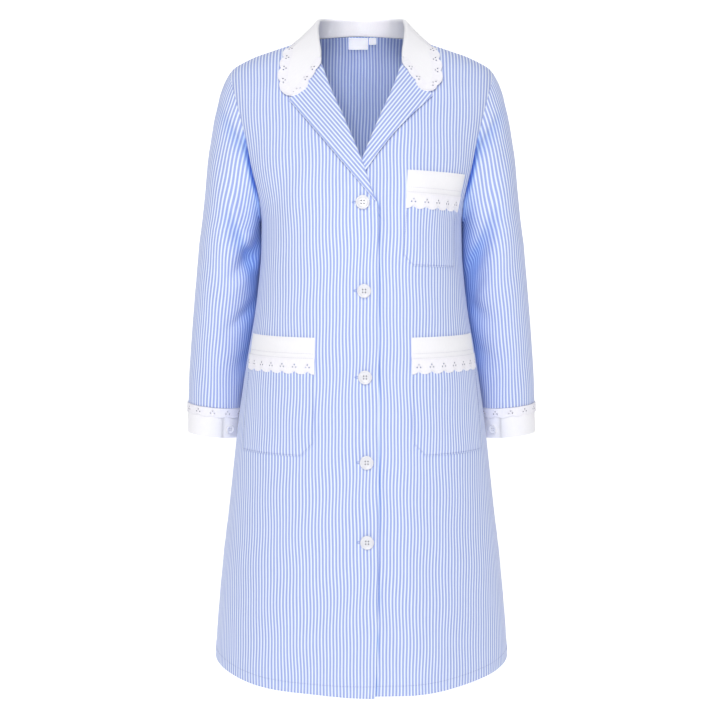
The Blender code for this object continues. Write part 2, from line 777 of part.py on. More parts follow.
def make_pocket_lace(front, pocket, left_at, right_at):
    seam = pocket.top - pocket.band
    bottom = seam - pocket.lace
    count = SCALLOP_STEPS * round(pocket.width / POCKET_SCALLOP)
    left_top, right_top = left_at(seam), right_at(seam)
    left_low, right_low = left_at(bottom), right_at(bottom)
    grid = [[], []]
    for k in range(count + 1):
        share = k / count
        distance = POCKET_SCALLOP * k / SCALLOP_STEPS + POCKET_SCALLOP / 2
        column = blend(left_top, right_top, share)
        grid[0].append(grid_at(front, row_at(front, column, seam), column))
        column = blend(left_low, right_low, share)
        height = bottom + SCALLOP_DEPTH - scallop(distance, POCKET_SCALLOP)
        grid[1].append(grid_at(front, row_at(front, column, height), column))
    normals = grid_normals(grid)
    lift = 2.2 * LAY_GAP + CLOTH
    inner = shifted(grid, normals, lift)
    outer = shifted(grid, normals, lift + LACE_CLOTH)
    solid(pocket.name + "_lace", outer, inner, "white_lace", mirror=pocket.side < 0)


# Sleeves and cuffs

def arm_point(angle, height, grow=0.0):
    """A point of the sleeve; the angle runs from the outer side to the front."""
    x = read(ARM, "height", "x", height)
    y = read(ARM, "height", "y", height)
    half_width = read(ARM, "height", "half_width", height) + grow
    half_depth = read(ARM, "height", "half_depth", height) + grow
    crease = sum(arm_crease(angle, height, row) for row in ARM_CREASES)
    out = math.cos(angle) * (half_width - crease)
    tilt = CUFF_TILT * ease((ARM[0].height - height) / (ARM[0].height - CUFF_TOP))
    return Vector((x + out, y - math.sin(angle) * (half_depth - crease), height + tilt * out))


def arm_crease(angle, height, crease):
    around = (angle - crease.angle) * ARM[2].half_depth
    across = height - crease.height - crease.slant * around
    fade = ease((height - CUFF_TOP) / 0.03)
    return fade * crease.depth * math.exp(-(around / crease.length) ** 2
                                          - (across / crease.width) ** 2)


def armhole_ring(front, back, front_normals, back_normals):
    """Points round the armhole with the panels' outward edge directions."""
    last = len(YOKE_ROWS) - 1
    ring, normals, inside = [], [], []
    for r in range(last + 1):
        ring.append(front[r][-1].copy())
        normals.append(front_normals[r][-1])
        inside.append(front[r][-2])
    for r in range(last - 1, 0, -1):
        ring.append(back[r][-1].copy())
        normals.append(back_normals[r][-1])
        inside.append(back[r][-2])
    ring[0].y = 0.0
    ring[last].y = 0.0
    count = len(ring)
    outward = []
    for k in range(count):
        along = ring[(k + 1) % count] - ring[k - 1]
        edge = along.cross(normals[k]).normalized()
        if edge.dot(ring[k] - inside[k]) < 0:
            edge.negate()
        outward.append(edge)
    return ring, outward


def make_sleeve(name, ring, outward, mirror):
    count = len(ring)
    half = count // 2
    grid = [[] for _ in SLEEVE_CAP_STEPS]
    for k in range(count):
        angle = math.pi * k / half
        clear = 0.0006 * (0.5 - 0.5 * math.cos(angle)) ** 4
        start = ring[k] + outward[k] * SEAM_GAP + Vector((clear, 0, 0))
        end = arm_point(angle, ARM[0].height)
        ahead = (arm_point(angle, SLEEVE_ROWS[0]) - end).normalized()
        reach = (end - start).length
        leave = Vector(SLEEVE_START) * reach * 0.6
        arrive = ahead * reach * 1.05
        for line, t in zip(grid, SLEEVE_CAP_STEPS):
            line.append(start * (1 + 2 * t) * (1 - t) ** 2 + leave * t * (1 - t) ** 2
                        + end * t * t * (3 - 2 * t) - arrive * t * t * (1 - t))
    for height in SLEEVE_ROWS:
        grid.append([arm_point(math.pi * k / half, height) for k in range(count)])
    normals = grid_normals(grid, wrap=True)
    centre = sum(grid[-1], Vector()) / count
    if normals[-1][0].dot(grid[-1][0] - centre) < 0:
        normals = [[-normal for normal in line] for line in normals]
    inner = shifted(grid, normals, -CLOTH)
    for k in range(count):
        inward = -normals[0][k]
        back_way = inward.dot(outward[k])
        if back_way < 0:
            inward -= outward[k] * back_way
        inner[0][k] = grid[0][k] + inward.normalized() * CLOTH
    solid(name, grid, inner, "striped_poplin", wrap=True, mirror=mirror)


def cuff_ring(height, grow, count):
    return [arm_point(2 * math.pi * k / count, height, grow) for k in range(count)]


def make_cuff(name, mirror):
    count = 2 * (len(YOKE_ROWS) - 1)
    rise = CUFF_TOP - SEAM_GAP
    heights = (rise, blend(rise, CUFF_BOTTOM, 0.5), CUFF_BOTTOM)
    grow = 0.0005
    outer = [cuff_ring(height, grow, count) for height in heights]
    inner = [cuff_ring(height, grow - CUFF_CLOTH, count) for height in heights]
    solid(name, outer, inner, "white_poplin", wrap=True, mirror=mirror)


def make_cuff_lace(name, mirror):
    count = CUFF_SCALLOPS * SCALLOP_STEPS
    lift = 0.0005 + LAY_GAP
    outer, inner = [[], []], [[], []]
    for k in range(count):
        angle = 2 * math.pi * k / count
        drop = scallop(k, SCALLOP_STEPS) * 0.6
        for row, height in enumerate((CUFF_TOP - 0.001, CUFF_TOP - CUFF_LACE + 0.0025 - drop)):
            outer[row].append(arm_point(angle, height, lift + LACE_CLOTH))
            inner[row].append(arm_point(angle, height, lift))
    solid(name, outer, inner, "white_lace", wrap=True, mirror=mirror)


# Collar

def neck_seam(section):
    if section.share < 1.0:
        x = NECK_X * math.sin(math.pi / 2 * section.share)
        height = NECK_HEIGHT + NECK_RISE_BEHIND * (1 - (x / NECK_X) ** 2)
        point = body_point(x, height, 1)
    else:
        x = read(INNER_EDGE, "height", "x", section.seam_height)
        point = body_point(x, section.seam_height, -1)
    return point + Vector((0, 0, 2 * SEAM_GAP))


def collar_edge(section):
    if section.edge_on == "seam":
        return Vector((section.edge_x, 0.0, section.edge_z))
    facing = 1 if section.edge_on == "back" else -1
    point = body_point(section.edge_x, section.edge_z, facing)
    return point + Vector((0, facing * section.lift, 0))


def collar_profile(section):
    """The visible face from the neck seam up, over the roll and down to the cloth's edge."""
    seam, edge = neck_seam(section), collar_edge(section)
    roll = Vector((section.roll_x, section.roll_y, section.roll_z))
    reach = Vector((edge.x - roll.x, edge.y - roll.y, 0))
    out = reach.normalized()
    fall = math.atan2(roll.z - edge.z, reach.length)
    radius = min(COLLAR_ROLL, 0.6 * (roll.z - seam.z))
    centre = roll - Vector((0, 0, radius))
    points = [seam - out * CLOTH]
    first = centre - out * radius
    points.append(points[0].lerp(first, 0.5))
    for k in range(COLLAR_ROLL_STEPS + 1):
        angle = blend(math.pi, math.pi / 2 - fall, k / COLLAR_ROLL_STEPS)
        points.append(centre + out * radius * math.cos(angle)
                      + Vector((0, 0, radius * math.sin(angle))))
    start = points[-1]
    length = (edge - start).length
    end = start.lerp(edge, 1 - COLLAR_LACE / length)
    for k in range(1, COLLAR_FALL_STEPS + 1):
        points.append(start.lerp(end, k / COLLAR_FALL_STEPS))
    return points


def collar_grid():
    side = [collar_profile(section) for section in COLLAR]
    mirrored = [[flip_x(point) for point in line] for line in side[:0:-1]]
    return mirrored + side


def make_collar(grid):
    normals = grid_normals(grid)
    if normals[len(grid) // 2][0].y > 0:
        normals = [[-normal for normal in line] for line in normals]
    inner = shifted(grid, normals, -CLOTH)
    solid("collar", grid, inner, "white_poplin")
    return normals


def make_collar_lace(grid, normals):
    """A scalloped strip laid over the cloth's edge, from one roll end round to the other."""
    first_fall = 2 + COLLAR_ROLL_STEPS
    start_side = [(grid[0][c], normals[0][c]) for c in range(first_fall, len(grid[0]) - 1)]
    outer_side = [(grid[r][-1], normals[r][-1]) for r in range(1, len(grid) - 1)]
    end_side = [(grid[-1][c], normals[-1][c]) for c in range(len(grid[0]) - 2, first_fall - 1, -1)]
    route = start_side + outer_side + end_side
    points = smooth_line([point for point, _ in route], 8)
    facings = smooth_line([normal for _, normal in route], 8)
    count = COLLAR_SCALLOPS * SCALLOP_STEPS
    line = spread(points, count)
    travelled = [0.0]
    for a, b in zip(points, points[1:]):
        travelled.append(travelled[-1] + (b - a).length)
    base, rim, lifts = [], [], []
    i = 0
    for k, point in enumerate(line):
        goal = travelled[-1] * k / count
        while i < len(points) - 2 and travelled[i + 1] < goal:
            i += 1
        normal = facings[i].normalized()
        along = line[min(k + 1, count)] - line[max(k - 1, 0)]
        out = along.cross(normal).normalized()
        if k > 0 and out.dot(rim_out) < 0:
            out.negate()
        if k == 0 and out.z > 0:
            out.negate()
        rim_out = out
        from_end = min(goal, travelled[-1] - goal)
        width = blend(NOTCH_LACE, COLLAR_LACE, ease((from_end - 0.035) / 0.02))
        reach = width - SCALLOP_DEPTH + scallop(k, SCALLOP_STEPS)
        base.append(point - out * LACE_LAP)
        rim.append(point + out * reach)
        lifts.append(normal)
    strip = [base, rim]
    facing = [lifts, lifts]
    inner = shifted(strip, facing, LAY_GAP)
    outer = shifted(strip, facing, LAY_GAP + LACE_CLOTH)
    solid("collar_lace", outer, inner, "white_lace")


# Buttons and labels

def button_mesh(diameter, with_holes):
    """A button with a raised rim, lying with its face up."""
    radius = diameter / 2
    profile = ((0.0, 0.0), (0.72, 0.0), (1.0, 0.45), (0.97, 0.85), (0.86, 1.0),
               (0.72, 0.78), (0.0, 0.68))
    points = [Vector((0, 0, 0))]
    rings = []
    for share, rise in profile[1:-1]:
        rings.append(range(len(points), len(points) + BUTTON_SIDES))
        for k in range(BUTTON_SIDES):
            turn = 2 * math.pi * k / BUTTON_SIDES
            points.append(Vector((radius * share * math.cos(turn), radius * share * math.sin(turn),
                                  BUTTON_HEIGHT * rise)))
    top = len(points)
    points.append(Vector((0, 0, BUTTON_HEIGHT * profile[-1][1])))
    faces = []
    for k in range(BUTTON_SIDES):
        ahead = (k + 1) % BUTTON_SIDES
        faces.append([0, rings[0][ahead], rings[0][k]])
        faces.append([top, rings[-1][k], rings[-1][ahead]])
        for low, high in zip(rings, rings[1:]):
            faces.append([low[k], low[ahead], high[ahead], high[k]])
    blank = add_object("button_blank", points, faces, "white_button")
    if not with_holes:
        mesh = blank.data
        bpy.data.objects.remove(blank)
        return mesh
    cutters = []
    for k in range(4):
        turn = math.pi / 4 + math.pi / 2 * k
        drill = bmesh.new()
        bmesh.ops.create_cone(drill, cap_ends=True, segments=HOLE_SIDES,
                              radius1=BUTTON_HOLE / 2, radius2=BUTTON_HOLE / 2,
                              depth=4 * BUTTON_HEIGHT)
        mesh = bpy.data.meshes.new("button_drill")
        drill.to_mesh(mesh)
        drill.free()
        cutter = bpy.data.objects.new("button_drill", mesh)
        cutter.location = (BUTTON_HOLE_SPREAD * math.cos(turn) * math.sqrt(2),
                           BUTTON_HOLE_SPREAD * math.sin(turn) * math.sqrt(2), 0)
        cutter.hide_render = True
        cutter.display_type = "WIRE"
        bpy.context.scene.collection.objects.link(cutter)
        cut = blank.modifiers.new("hole", "BOOLEAN")
        cut.object = cutter
        cut.solver = "EXACT"
        cutters.append(cutter)
    bpy.context.view_layer.update()
    drilled = bpy.data.meshes.new_from_object(
        blank.evaluated_get(bpy.context.evaluated_depsgraph_get()))
    for thing in cutters + [blank]:
        bpy.data.objects.remove(thing)
    return drilled


def place_button(name, mesh, point, facing):
    thing = bpy.data.objects.new(name, mesh)
    turn = facing.to_track_quat("Z", "Y").to_matrix().to_4x4()
    thing.matrix_world = Matrix.Translation(point) @ turn
    bpy.context.scene.collection.objects.link(thing)


def make_front_buttons(front):
    mesh = button_mesh(BUTTON_DIAMETER, True)
    for number, button in enumerate(BUTTONS, start=1):
        row, column = place_at(front, -button.x, button.height)
        point = grid_at(front, row, column)
        side_step = grid_at(front, row, column + 0.4) - grid_at(front, row, column - 0.4)
        down_step = grid_at(front, row + 0.4, column) - grid_at(front, row - 0.4, column)
        facing = flip_x(down_step.cross(side_step).normalized())
        place_button("button_%d" % number, mesh, flip_x(point) + facing * BUTTON_GAP, facing)


def make_cuff_buttons():
    mesh = button_mesh(CUFF_BUTTON_DIAMETER, False)
    turn, rise = CUFF_BUTTON_PLACE
    angle = math.pi * turn
    height = CUFF_BOTTOM + rise
    point = arm_point(angle, height, 0.0005)
    side_step = arm_point(angle + 0.1, height) - arm_point(angle - 0.1, height)
    down_step = arm_point(angle, height - 0.01) - arm_point(angle, height + 0.01)
    facing = side_step.cross(down_step).normalized()
    if facing.y > 0:
        facing.negate()
    point += facing * BUTTON_GAP
    place_button("cuff_button_left", mesh, point, facing)
    place_button("cuff_button_right", mesh, flip_x(point), flip_x(facing))


def make_label(name, back, left, width, top, drop):
    """A flat tape on the inside of the back, under the collar's seam."""
    columns, rows = 3, 2
    grid = []
    for r in range(rows + 1):
        line = []
        for c in range(columns + 1):
            row, column = place_at(back, left + width * c / columns, top - drop * r / rows)
            line.append(grid_at(back, row, column))
        grid.append(line)
    normals = grid_normals(grid)
    inner = shifted(grid, normals, CLOTH + LAY_GAP)
    outer = shifted(grid, normals, CLOTH + LAY_GAP + LABEL_CLOTH)
    solid(name, outer, inner, "label_tape")


def clear_scene():
    for thing in list(bpy.data.objects):
        bpy.data.objects.remove(thing)


def main():
    clear_scene()
    right, left, back = front_rows(-1), front_rows(1), back_rows()
    make_front("front_right", right, mirror=True)
    left_normals = make_front("front_left", left, mirror=False)
    back_normals = make_back(back)
    make_lapel("lapel_right", right, -1)
    make_lapel("lapel_left", left, 1)
    for pocket in POCKETS:
        make_pocket(left if pocket.side > 0 else right, pocket)
    ring, outward = armhole_ring(left, back, left_normals, back_normals)
    for name, mirror in (("right", True), ("left", False)):
        make_sleeve("sleeve_" + name, ring, outward, mirror)
        make_cuff("cuff_" + name, mirror)
        make_cuff_lace("cuff_lace_" + name, mirror)
    collar = collar_grid()
    make_collar_lace(collar, make_collar(collar))
    make_front_buttons(right)
    make_cuff_buttons()
    make_label("neck_label", back, LABEL_LEFT, LABEL_WIDTH, LABEL_TOP, LABEL_DROP)
    make_label("size_tab", back, TAB_LEFT, TAB_WIDTH, LABEL_TOP, TAB_DROP)


main()
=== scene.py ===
import math
from functools import partial

import bmesh
import bpy
import numpy as np
from mathutils import Matrix, Vector
from mathutils.geometry import delaunay_2d_cdt


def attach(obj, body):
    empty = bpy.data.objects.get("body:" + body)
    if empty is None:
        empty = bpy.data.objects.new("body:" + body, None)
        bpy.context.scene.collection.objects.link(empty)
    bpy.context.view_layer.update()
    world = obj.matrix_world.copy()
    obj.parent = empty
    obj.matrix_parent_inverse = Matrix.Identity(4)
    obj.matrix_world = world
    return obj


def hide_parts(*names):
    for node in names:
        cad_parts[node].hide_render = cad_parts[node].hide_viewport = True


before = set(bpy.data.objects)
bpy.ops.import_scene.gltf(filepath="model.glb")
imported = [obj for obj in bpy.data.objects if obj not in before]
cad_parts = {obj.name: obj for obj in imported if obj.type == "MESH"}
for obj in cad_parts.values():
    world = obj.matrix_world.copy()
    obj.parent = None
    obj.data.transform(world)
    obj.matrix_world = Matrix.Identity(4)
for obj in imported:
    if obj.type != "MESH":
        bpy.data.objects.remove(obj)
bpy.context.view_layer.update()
print("frame loaded")

# All sizes are metres. The wearer faces -Y and the wearer's left is +X.
# "Own side" x is measured outward from the centre on the wearer's own side.

mm = 0.001
bothSides = ((-1, "right"), (1, "left"))
sharpAngle = math.radians(50)      # faces that meet at more than this show an edge


# Small helpers

def toLinear(text):
    values = [int(text[i:i + 2], 16) / 255 for i in (1, 3, 5)]
    linear = [v / 12.92 if v <= 0.04045 else ((v + 0.055) / 1.055) ** 2.4 for v in values]
    return (*linear, 1.0)


def mix(a, b, share):
    return a + (b - a) * share


def ease(share):
    share = np.clip(share, 0.0, 1.0)
    return share * share * (3 - 2 * share)


def columnsOf(names, rows):
    return dict(zip(names.split(), np.array(rows, float).T))


def curveThrough(keys, values, at):
    # monotone cubic, so a curve never overshoots its rows
    order = np.argsort(keys)
    keys, values = keys[order], values[order]
    steps = np.diff(values) / np.diff(keys)
    same = steps[:-1] * steps[1:] > 0
    total = np.where(same, steps[:-1] + steps[1:], 1.0)
    slopes = np.concatenate((steps[:1], np.where(same, 2 * steps[:-1] * steps[1:] / total, 0.0),
                             steps[-1:]))
    at = np.clip(at, keys[0], keys[-1])
    i = np.clip(np.searchsorted(keys, at) - 1, 0, len(keys) - 2)
    span = keys[i + 1] - keys[i]
    t = (at - keys[i]) / span
    return (values[i] * (1 + 2 * t) * (1 - t) ** 2 + slopes[i] * span * t * (1 - t) ** 2
            + values[i + 1] * t * t * (3 - 2 * t) - slopes[i + 1] * span * t * t * (1 - t))


def look(table, name, at, key="height"):
    return curveThrough(table[key], table[name], np.asarray(at, float))


def unit(vectors):
    return vectors / np.maximum(np.linalg.norm(vectors, axis=-1, keepdims=True), 1e-12)


def lengthAlong(line):
    return np.concatenate(([0.0], np.cumsum(np.linalg.norm(np.diff(line, axis=0), axis=1))))


def sampled(line, travelled, at):
    return np.stack([np.interp(at, travelled, column) for column in line.T], -1)


def evenly(lines, count):
    # each line again, with count equal lengths
    out = []
    for line in lines:
        travelled = lengthAlong(line[:, :3])
        out.append(sampled(line, travelled, np.linspace(0, travelled[-1], count + 1)))
    return np.array(out)


def slanted(aside, above, slant):
    # distances along and across a crease that slants by so many degrees
    turn = math.radians(slant)
    return (aside * math.cos(turn) + above * math.sin(turn),
            above * math.cos(turn) - aside * math.sin(turn))


def dip(along, length, across=0.0, width=1.0):
    return np.exp(-(along / length) ** 2 - (across / width) ** 2)


def anglesOf(count):
    return np.linspace(0, 2 * math.pi, count + 1)[:-1]


def roundedLine(points, steps):
    # a smooth line through the points
    padded = np.concatenate((points[:1], points, points[-1:]))
    p0, p1, p2, p3 = padded[:-3], padded[1:-2], padded[2:-1], padded[3:]
    t = (np.arange(steps) / steps).reshape((-1,) + (1,) * points.ndim)
    parts = 0.5 * (2 * p1 + (p2 - p0) * t + (2 * p0 - 5 * p1 + 4 * p2 - p3) * t ** 2
                   + (3 * p1 - p0 - 3 * p2 + p3) * t ** 3)
    parts = np.swapaxes(parts, 0, 1).reshape((-1,) + points.shape[1:])
    return np.concatenate((parts, points[-1:]))


# Building meshes

def addThing(name, data):
    thing = bpy.data.objects.new(name, data)
    bpy.context.scene.collection.objects.link(thing)
    return thing


def buildMesh(name, points, faces, uvs, material):
    tips = points[faces]
    volume = np.einsum("ij,ij->i", tips[:, 0], np.cross(tips[:, 1], tips[:, 2])).sum()
    if faces.shape[1] == 4:
        volume += np.einsum("ij,ij->i", tips[:, 0], np.cross(tips[:, 2], tips[:, 3])).sum()
    if volume < 0:
        faces, uvs = faces[:, ::-1], uvs[:, ::-1]
    size = faces.shape[1]
    mesh = bpy.data.meshes.new(name)
    mesh.vertices.add(len(points))
    mesh.vertices.foreach_set("co", points.ravel().astype(np.float32))
    mesh.loops.add(faces.size)
    mesh.loops.foreach_set("vertex_index", np.ascontiguousarray(faces).ravel().astype(np.int32))
    mesh.polygons.add(len(faces))
    mesh.polygons.foreach_set("loop_start", (np.arange(len(faces)) * size).astype(np.int32))
    mesh.update(calc_edges=True)
    layer = mesh.uv_layers.new(name="cloth")
    layer.data.foreach_set("uv", np.ascontiguousarray(uvs).ravel().astype(np.float32))
    mesh.validate()
    mesh.shade_smooth()
    mesh.set_sharp_from_angle(angle=sharpAngle)
    mesh.materials.append(material)
    return addThing(name, mesh)


def gridNormals(grid, wrap=False):
    down = np.gradient(grid, axis=0)
    if wrap:
        across = np.roll(grid, -1, axis=1) - np.roll(grid, 1, axis=1)
    else:
        across = np.gradient(grid, axis=1)
    return unit(np.cross(down, across))


def corners(grid):
    # the four corners of each cell
    cells = np.stack((grid[:-1, :-1], grid[1:, :-1], grid[1:, 1:], grid[:-1, 1:]), 2)
    return cells.reshape((-1, 4) + grid.shape[2:])


def shell(name, outer, inner, uv, material, wrap=False, mirror=False):
    # a closed wall between two grids; uv has one more column than a wrapped grid
    points = np.concatenate((outer.reshape(-1, 3), inner.reshape(-1, 3)))
    if mirror:
        points = points * (-1, 1, 1)
    ids = np.arange(len(points)).reshape((2,) + outer.shape[:2])
    if wrap:
        ids = np.concatenate((ids, ids[:, :, :1]), axis=2)
    # both faces, the first and last rows' rims, then the first and last columns'
    sheets = [(ids[0], uv), (ids[1].T, np.swapaxes(uv, 0, 1)),
              (ids[:, 0].T, uv[0][:, None].repeat(2, 1)),
              (ids[::-1, -1].T, uv[-1][:, None].repeat(2, 1))]
    if not wrap:
        sheets += [(ids[::-1, :, 0].T, uv[:, :1].repeat(2, 1)),
                   (ids[:, :, -1].T, uv[:, -1:].repeat(2, 1))]
    return buildMesh(name, points, np.concatenate([corners(grid) for grid, _ in sheets]),
                     np.concatenate([corners(maps) for _, maps in sheets]), material)


def areaOf(grid):
    a, b = grid[1:, 1:] - grid[:-1, :-1], grid[1:, :-1] - grid[:-1, 1:]
    return float(np.linalg.norm(np.cross(a, b), axis=2).sum() / 2)


def declare(piece, nodes, flat=None, area=None):
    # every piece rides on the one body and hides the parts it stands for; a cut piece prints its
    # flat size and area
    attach(piece, "root")
    if nodes:
        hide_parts(*nodes)
    if flat:
        print("  %s: flat %.3f x %.3f m, %.4f square metres" % (piece.name, *flat, area))
    return piece


# Materials

def addNode(tree, kind, settings, inputs):
    node = tree.nodes.new("ShaderNode" + kind)
    for name, value in settings.items():
        setattr(node, name, value)
    for name, value in inputs.items():
        if isinstance(value, bpy.types.NodeSocket):
            tree.links.new(value, node.inputs[name])
        else:
            node.inputs[name].default_value = value
    return node


def startMaterial(name, roughness, ior, sheen):
    material = bpy.data.materials.new(name)
    material.use_nodes = True
    shader = material.node_tree.nodes["Principled BSDF"]
    shader.inputs["Roughness"].default_value = roughness
    shader.inputs["IOR"].default_value = ior
    shader.inputs["Sheen Weight"].default_value = sheen
    shader.inputs["Sheen Roughness"].default_value = 0.5
    return material, material.node_tree, shader


def addWeave(tree, shader, pitch, strength, across, along):
    # plain weave: warp and weft pass over each other in turn
    waves = []
    for socket in (across, along):
        turns = addNode(tree, "Math", {"operation": "MULTIPLY"}, {0: socket, 1: math.pi / pitch})
        waves.append(addNode(tree, "Math", {"operation": "SINE"}, {0: turns.outputs[0]}))
    height = addNode(tree, "Math", {"operation": "MULTIPLY"},
                     {0: waves[0].outputs[0], 1: waves[1].outputs[0]})
    bump = addNode(tree, "Bump", {}, {"Strength": strength, "Distance": 0.1 * mm,
                                      "Height": height.outputs[0]})
    tree.links.new(bump.outputs[0], shader.inputs["Normal"])


def addTint(tree, shader, where, scale, detail, colour, shade, space="3D"):
    # the colour wanders between two tones
    cloud = addNode(tree, "TexNoise", {"noise_dimensions": space},
                    {"Vector": where, "Scale": scale, "Detail": detail})
    tint = addNode(tree, "Mix", {"data_type": "RGBA"},
                   {0: cloud.outputs["Fac"], 6: toLinear(colour), 7: toLinear(shade)})
    tree.links.new(tint.outputs[2], shader.inputs["Base Color"])


def clothCoordinates(tree):
    uv = addNode(tree, "UVMap", {"uv_map": "cloth"}, {})
    parts = addNode(tree, "SeparateXYZ", {}, {0: uv.outputs[0]})
    return uv.outputs[0], parts.outputs[0], parts.outputs[1]


# Yarn-dyed cotton poplin. Warp yarns dyed blue and left white make the stripes, so they
# run with the grain and show on both faces; the surface is matt with a faint fibre sheen.
poplin = {
    "stripePeriod": 4.7 * mm,
    "whiteShare": 0.43,
    "softEdge": 0.055,
    "blue": "#98a8df",
    "white": "#e6eefd",
    "paleBlue": "#a5b3e7",
    # painted shade: colours multiplied in where layers face each other and, deeper, in the cleft
    # of a seam
    "paintedShade": "#bad5f8",
    "cleft": "#6f8fd0",
    "slubLength": 18 * mm,
    "slubWidth": 0.9 * mm,
    "weavePitch": 0.6 * mm,     # real yarns are 0.25 mm apart; drawn coarser so that they show
    "weaveStrength": 0.12,
    "roughness": 0.82,
    "sheen": 0.12,
}


def makeStripedPoplin():
    material, tree, shader = startMaterial("yarn-dyed cotton poplin", poplin["roughness"], 1.5,
                                           poplin["sheen"])
    uv, across, along = clothCoordinates(tree)
    counted = addNode(tree, "Math", {"operation": "MULTIPLY"},
                      {0: across, 1: 1 / poplin["stripePeriod"]})
    fromMiddle = addNode(tree, "Math", {"operation": "PINGPONG"},
                         {0: counted.outputs[0], 1: 0.5})
    edge = poplin["whiteShare"] / 2
    stripe = addNode(tree, "MapRange", {"interpolation_type": "SMOOTHSTEP"},
                     {0: fromMiddle.outputs[0], 1: edge - poplin["softEdge"],
                      2: edge + poplin["softEdge"]})
    stretch = addNode(tree, "VectorMath", {"operation": "MULTIPLY"},
                      {0: uv, 1: (1 / poplin["slubWidth"], 1 / poplin["slubLength"], 1)})
    slubs = addNode(tree, "TexNoise", {"noise_dimensions": "2D"},
                    {"Vector": stretch.outputs[0], "Scale": 1.0, "Detail": 2.0})
    blueYarn = addNode(tree, "Mix", {"data_type": "RGBA"},
                       {0: slubs.outputs["Fac"], 6: toLinear(poplin["blue"]),
                        7: toLinear(poplin["paleBlue"])})
    cloth = addNode(tree, "Mix", {"data_type": "RGBA"},
                    {0: stripe.outputs[0], 6: toLinear(poplin["white"]), 7: blueYarn.outputs[2]})
    # painted shade: where two layers face each other the cloth is multiplied towards a deeper
    # blue, and where the value is above 1, in the cleft of a seam, a second, darker painted shade
    # is multiplied in
    paintedShade = addNode(tree, "Attribute", {"attribute_name": "paintedShade"}, {})
    deep = addNode(tree, "Mix", {"data_type": "RGBA", "blend_type": "MULTIPLY"},
                   {0: paintedShade.outputs["Fac"], 6: cloth.outputs[2], 7: toLinear(poplin["paintedShade"])})
    beyond = addNode(tree, "Math", {"operation": "SUBTRACT", "use_clamp": True},
                     {0: paintedShade.outputs["Fac"], 1: 1.0})
    dark = addNode(tree, "Mix", {"data_type": "RGBA", "blend_type": "MULTIPLY"},
                   {0: beyond.outputs[0], 6: deep.outputs[2], 7: toLinear(poplin["cleft"])})
    tree.links.new(dark.outputs[2], shader.inputs["Base Color"])
    addWeave(tree, shader, poplin["weavePitch"], poplin["weaveStrength"], across, along)
    return material


# White cotton: a woven ground with thicker and thinner yarns, letting some light through.
plainSlubs = (700, 120, 1)      # changes of the yarn in a metre, across and along


def makePlainCloth(name, colour, shade, pitch, strength, roughness, sheen, through=0.0):
    material, tree, shader = startMaterial(name, roughness, 1.5, sheen)
    shader.inputs["Subsurface Weight"].default_value = through
    shader.inputs["Subsurface Radius"].default_value = (1.0, 1.0, 1.0)
    shader.inputs["Subsurface Scale"].default_value = 1.5 * mm
    uv, across, along = clothCoordinates(tree)
    stretch = addNode(tree, "VectorMath", {"operation": "MULTIPLY"}, {0: uv, 1: plainSlubs})
    addTint(tree, shader, stretch.outputs[0], 1.0, 2.0, colour, shade, "2D")
    addWeave(tree, shader, pitch, strength, across, along)
    return material


def makeSolid(name, colour, shade, roughness, ior, scale, detail):
    material, tree, shader = startMaterial(name, roughness, ior, 0.0)
    place = addNode(tree, "TexCoord", {}, {})
    addTint(tree, shader, place.outputs["Object"], scale, detail, colour, shade)
    return material


# Cast polyester, tumbled to a satin gloss; a faint cloudiness runs through it.
castPlastic = {"roughness": 0.22, "ior": 1.55, "scale": 260.0, "detail": 3.0}
# Twisted polyester sewing thread, with a slight gloss along each stitch.
sewingThread = {"roughness": 0.55, "ior": 1.5, "scale": 900.0, "detail": 1.0}

stripedPoplin = makeStripedPoplin()
whitePoplin = makePlainCloth("bleached cotton poplin", "#f8f7fc", "#f2f1f8", 0.6 * mm, 0.05,
                             0.8, 0.1, 0.5)
broderieAnglaise = makePlainCloth("broderie anglaise", "#f8f7fc", "#eceaf3", 0.8 * mm, 0.12,
                                  0.85, 0.1)
labelTape = makePlainCloth("woven satin tape", "#fefefe", "#fafafc", 0.5 * mm, 0.08, 0.45, 0.0,
                           0.6)
# painted light: the tape is given a faint glow of its own, which brightens it in the shade inside
# the neck
paintedGlow = labelTape.node_tree.nodes["Principled BSDF"]
paintedGlow.inputs["Emission Color"].default_value = toLinear("#f6f7ff")
paintedGlow.inputs["Emission Strength"].default_value = 0.2
buttonPlastic = makeSolid("cast polyester button", "#e9e9ee", "#dadae1", **castPlastic)
cuffPlastic = makeSolid("whiter cast polyester button", "#f3f3f7", "#e9e9ef", **castPlastic)
blueThread = makeSolid("blue polyester thread", "#6379ba", "#566cab", **sewingThread)
paleThread = makeSolid("pale blue polyester thread", "#8fa3dc", "#8094ce", **sewingThread)
whiteThread = makeSolid("white polyester thread", "#d9d7e4", "#c9c7d6", **sewingThread)
# the eyelet walls' thread, coloured dark as a painted shade
eyeletThreadShade = makeSolid("shaded eyelet stitching", "#6b7088", "#5c617a", **sewingThread)
holeThread = makeSolid("grey-blue button thread", "#77757f", "#6a6872", **sewingThread)
print("materials made")


# The body: level sections, as half width, depth in front of and behind the side seams
# and how square each half is

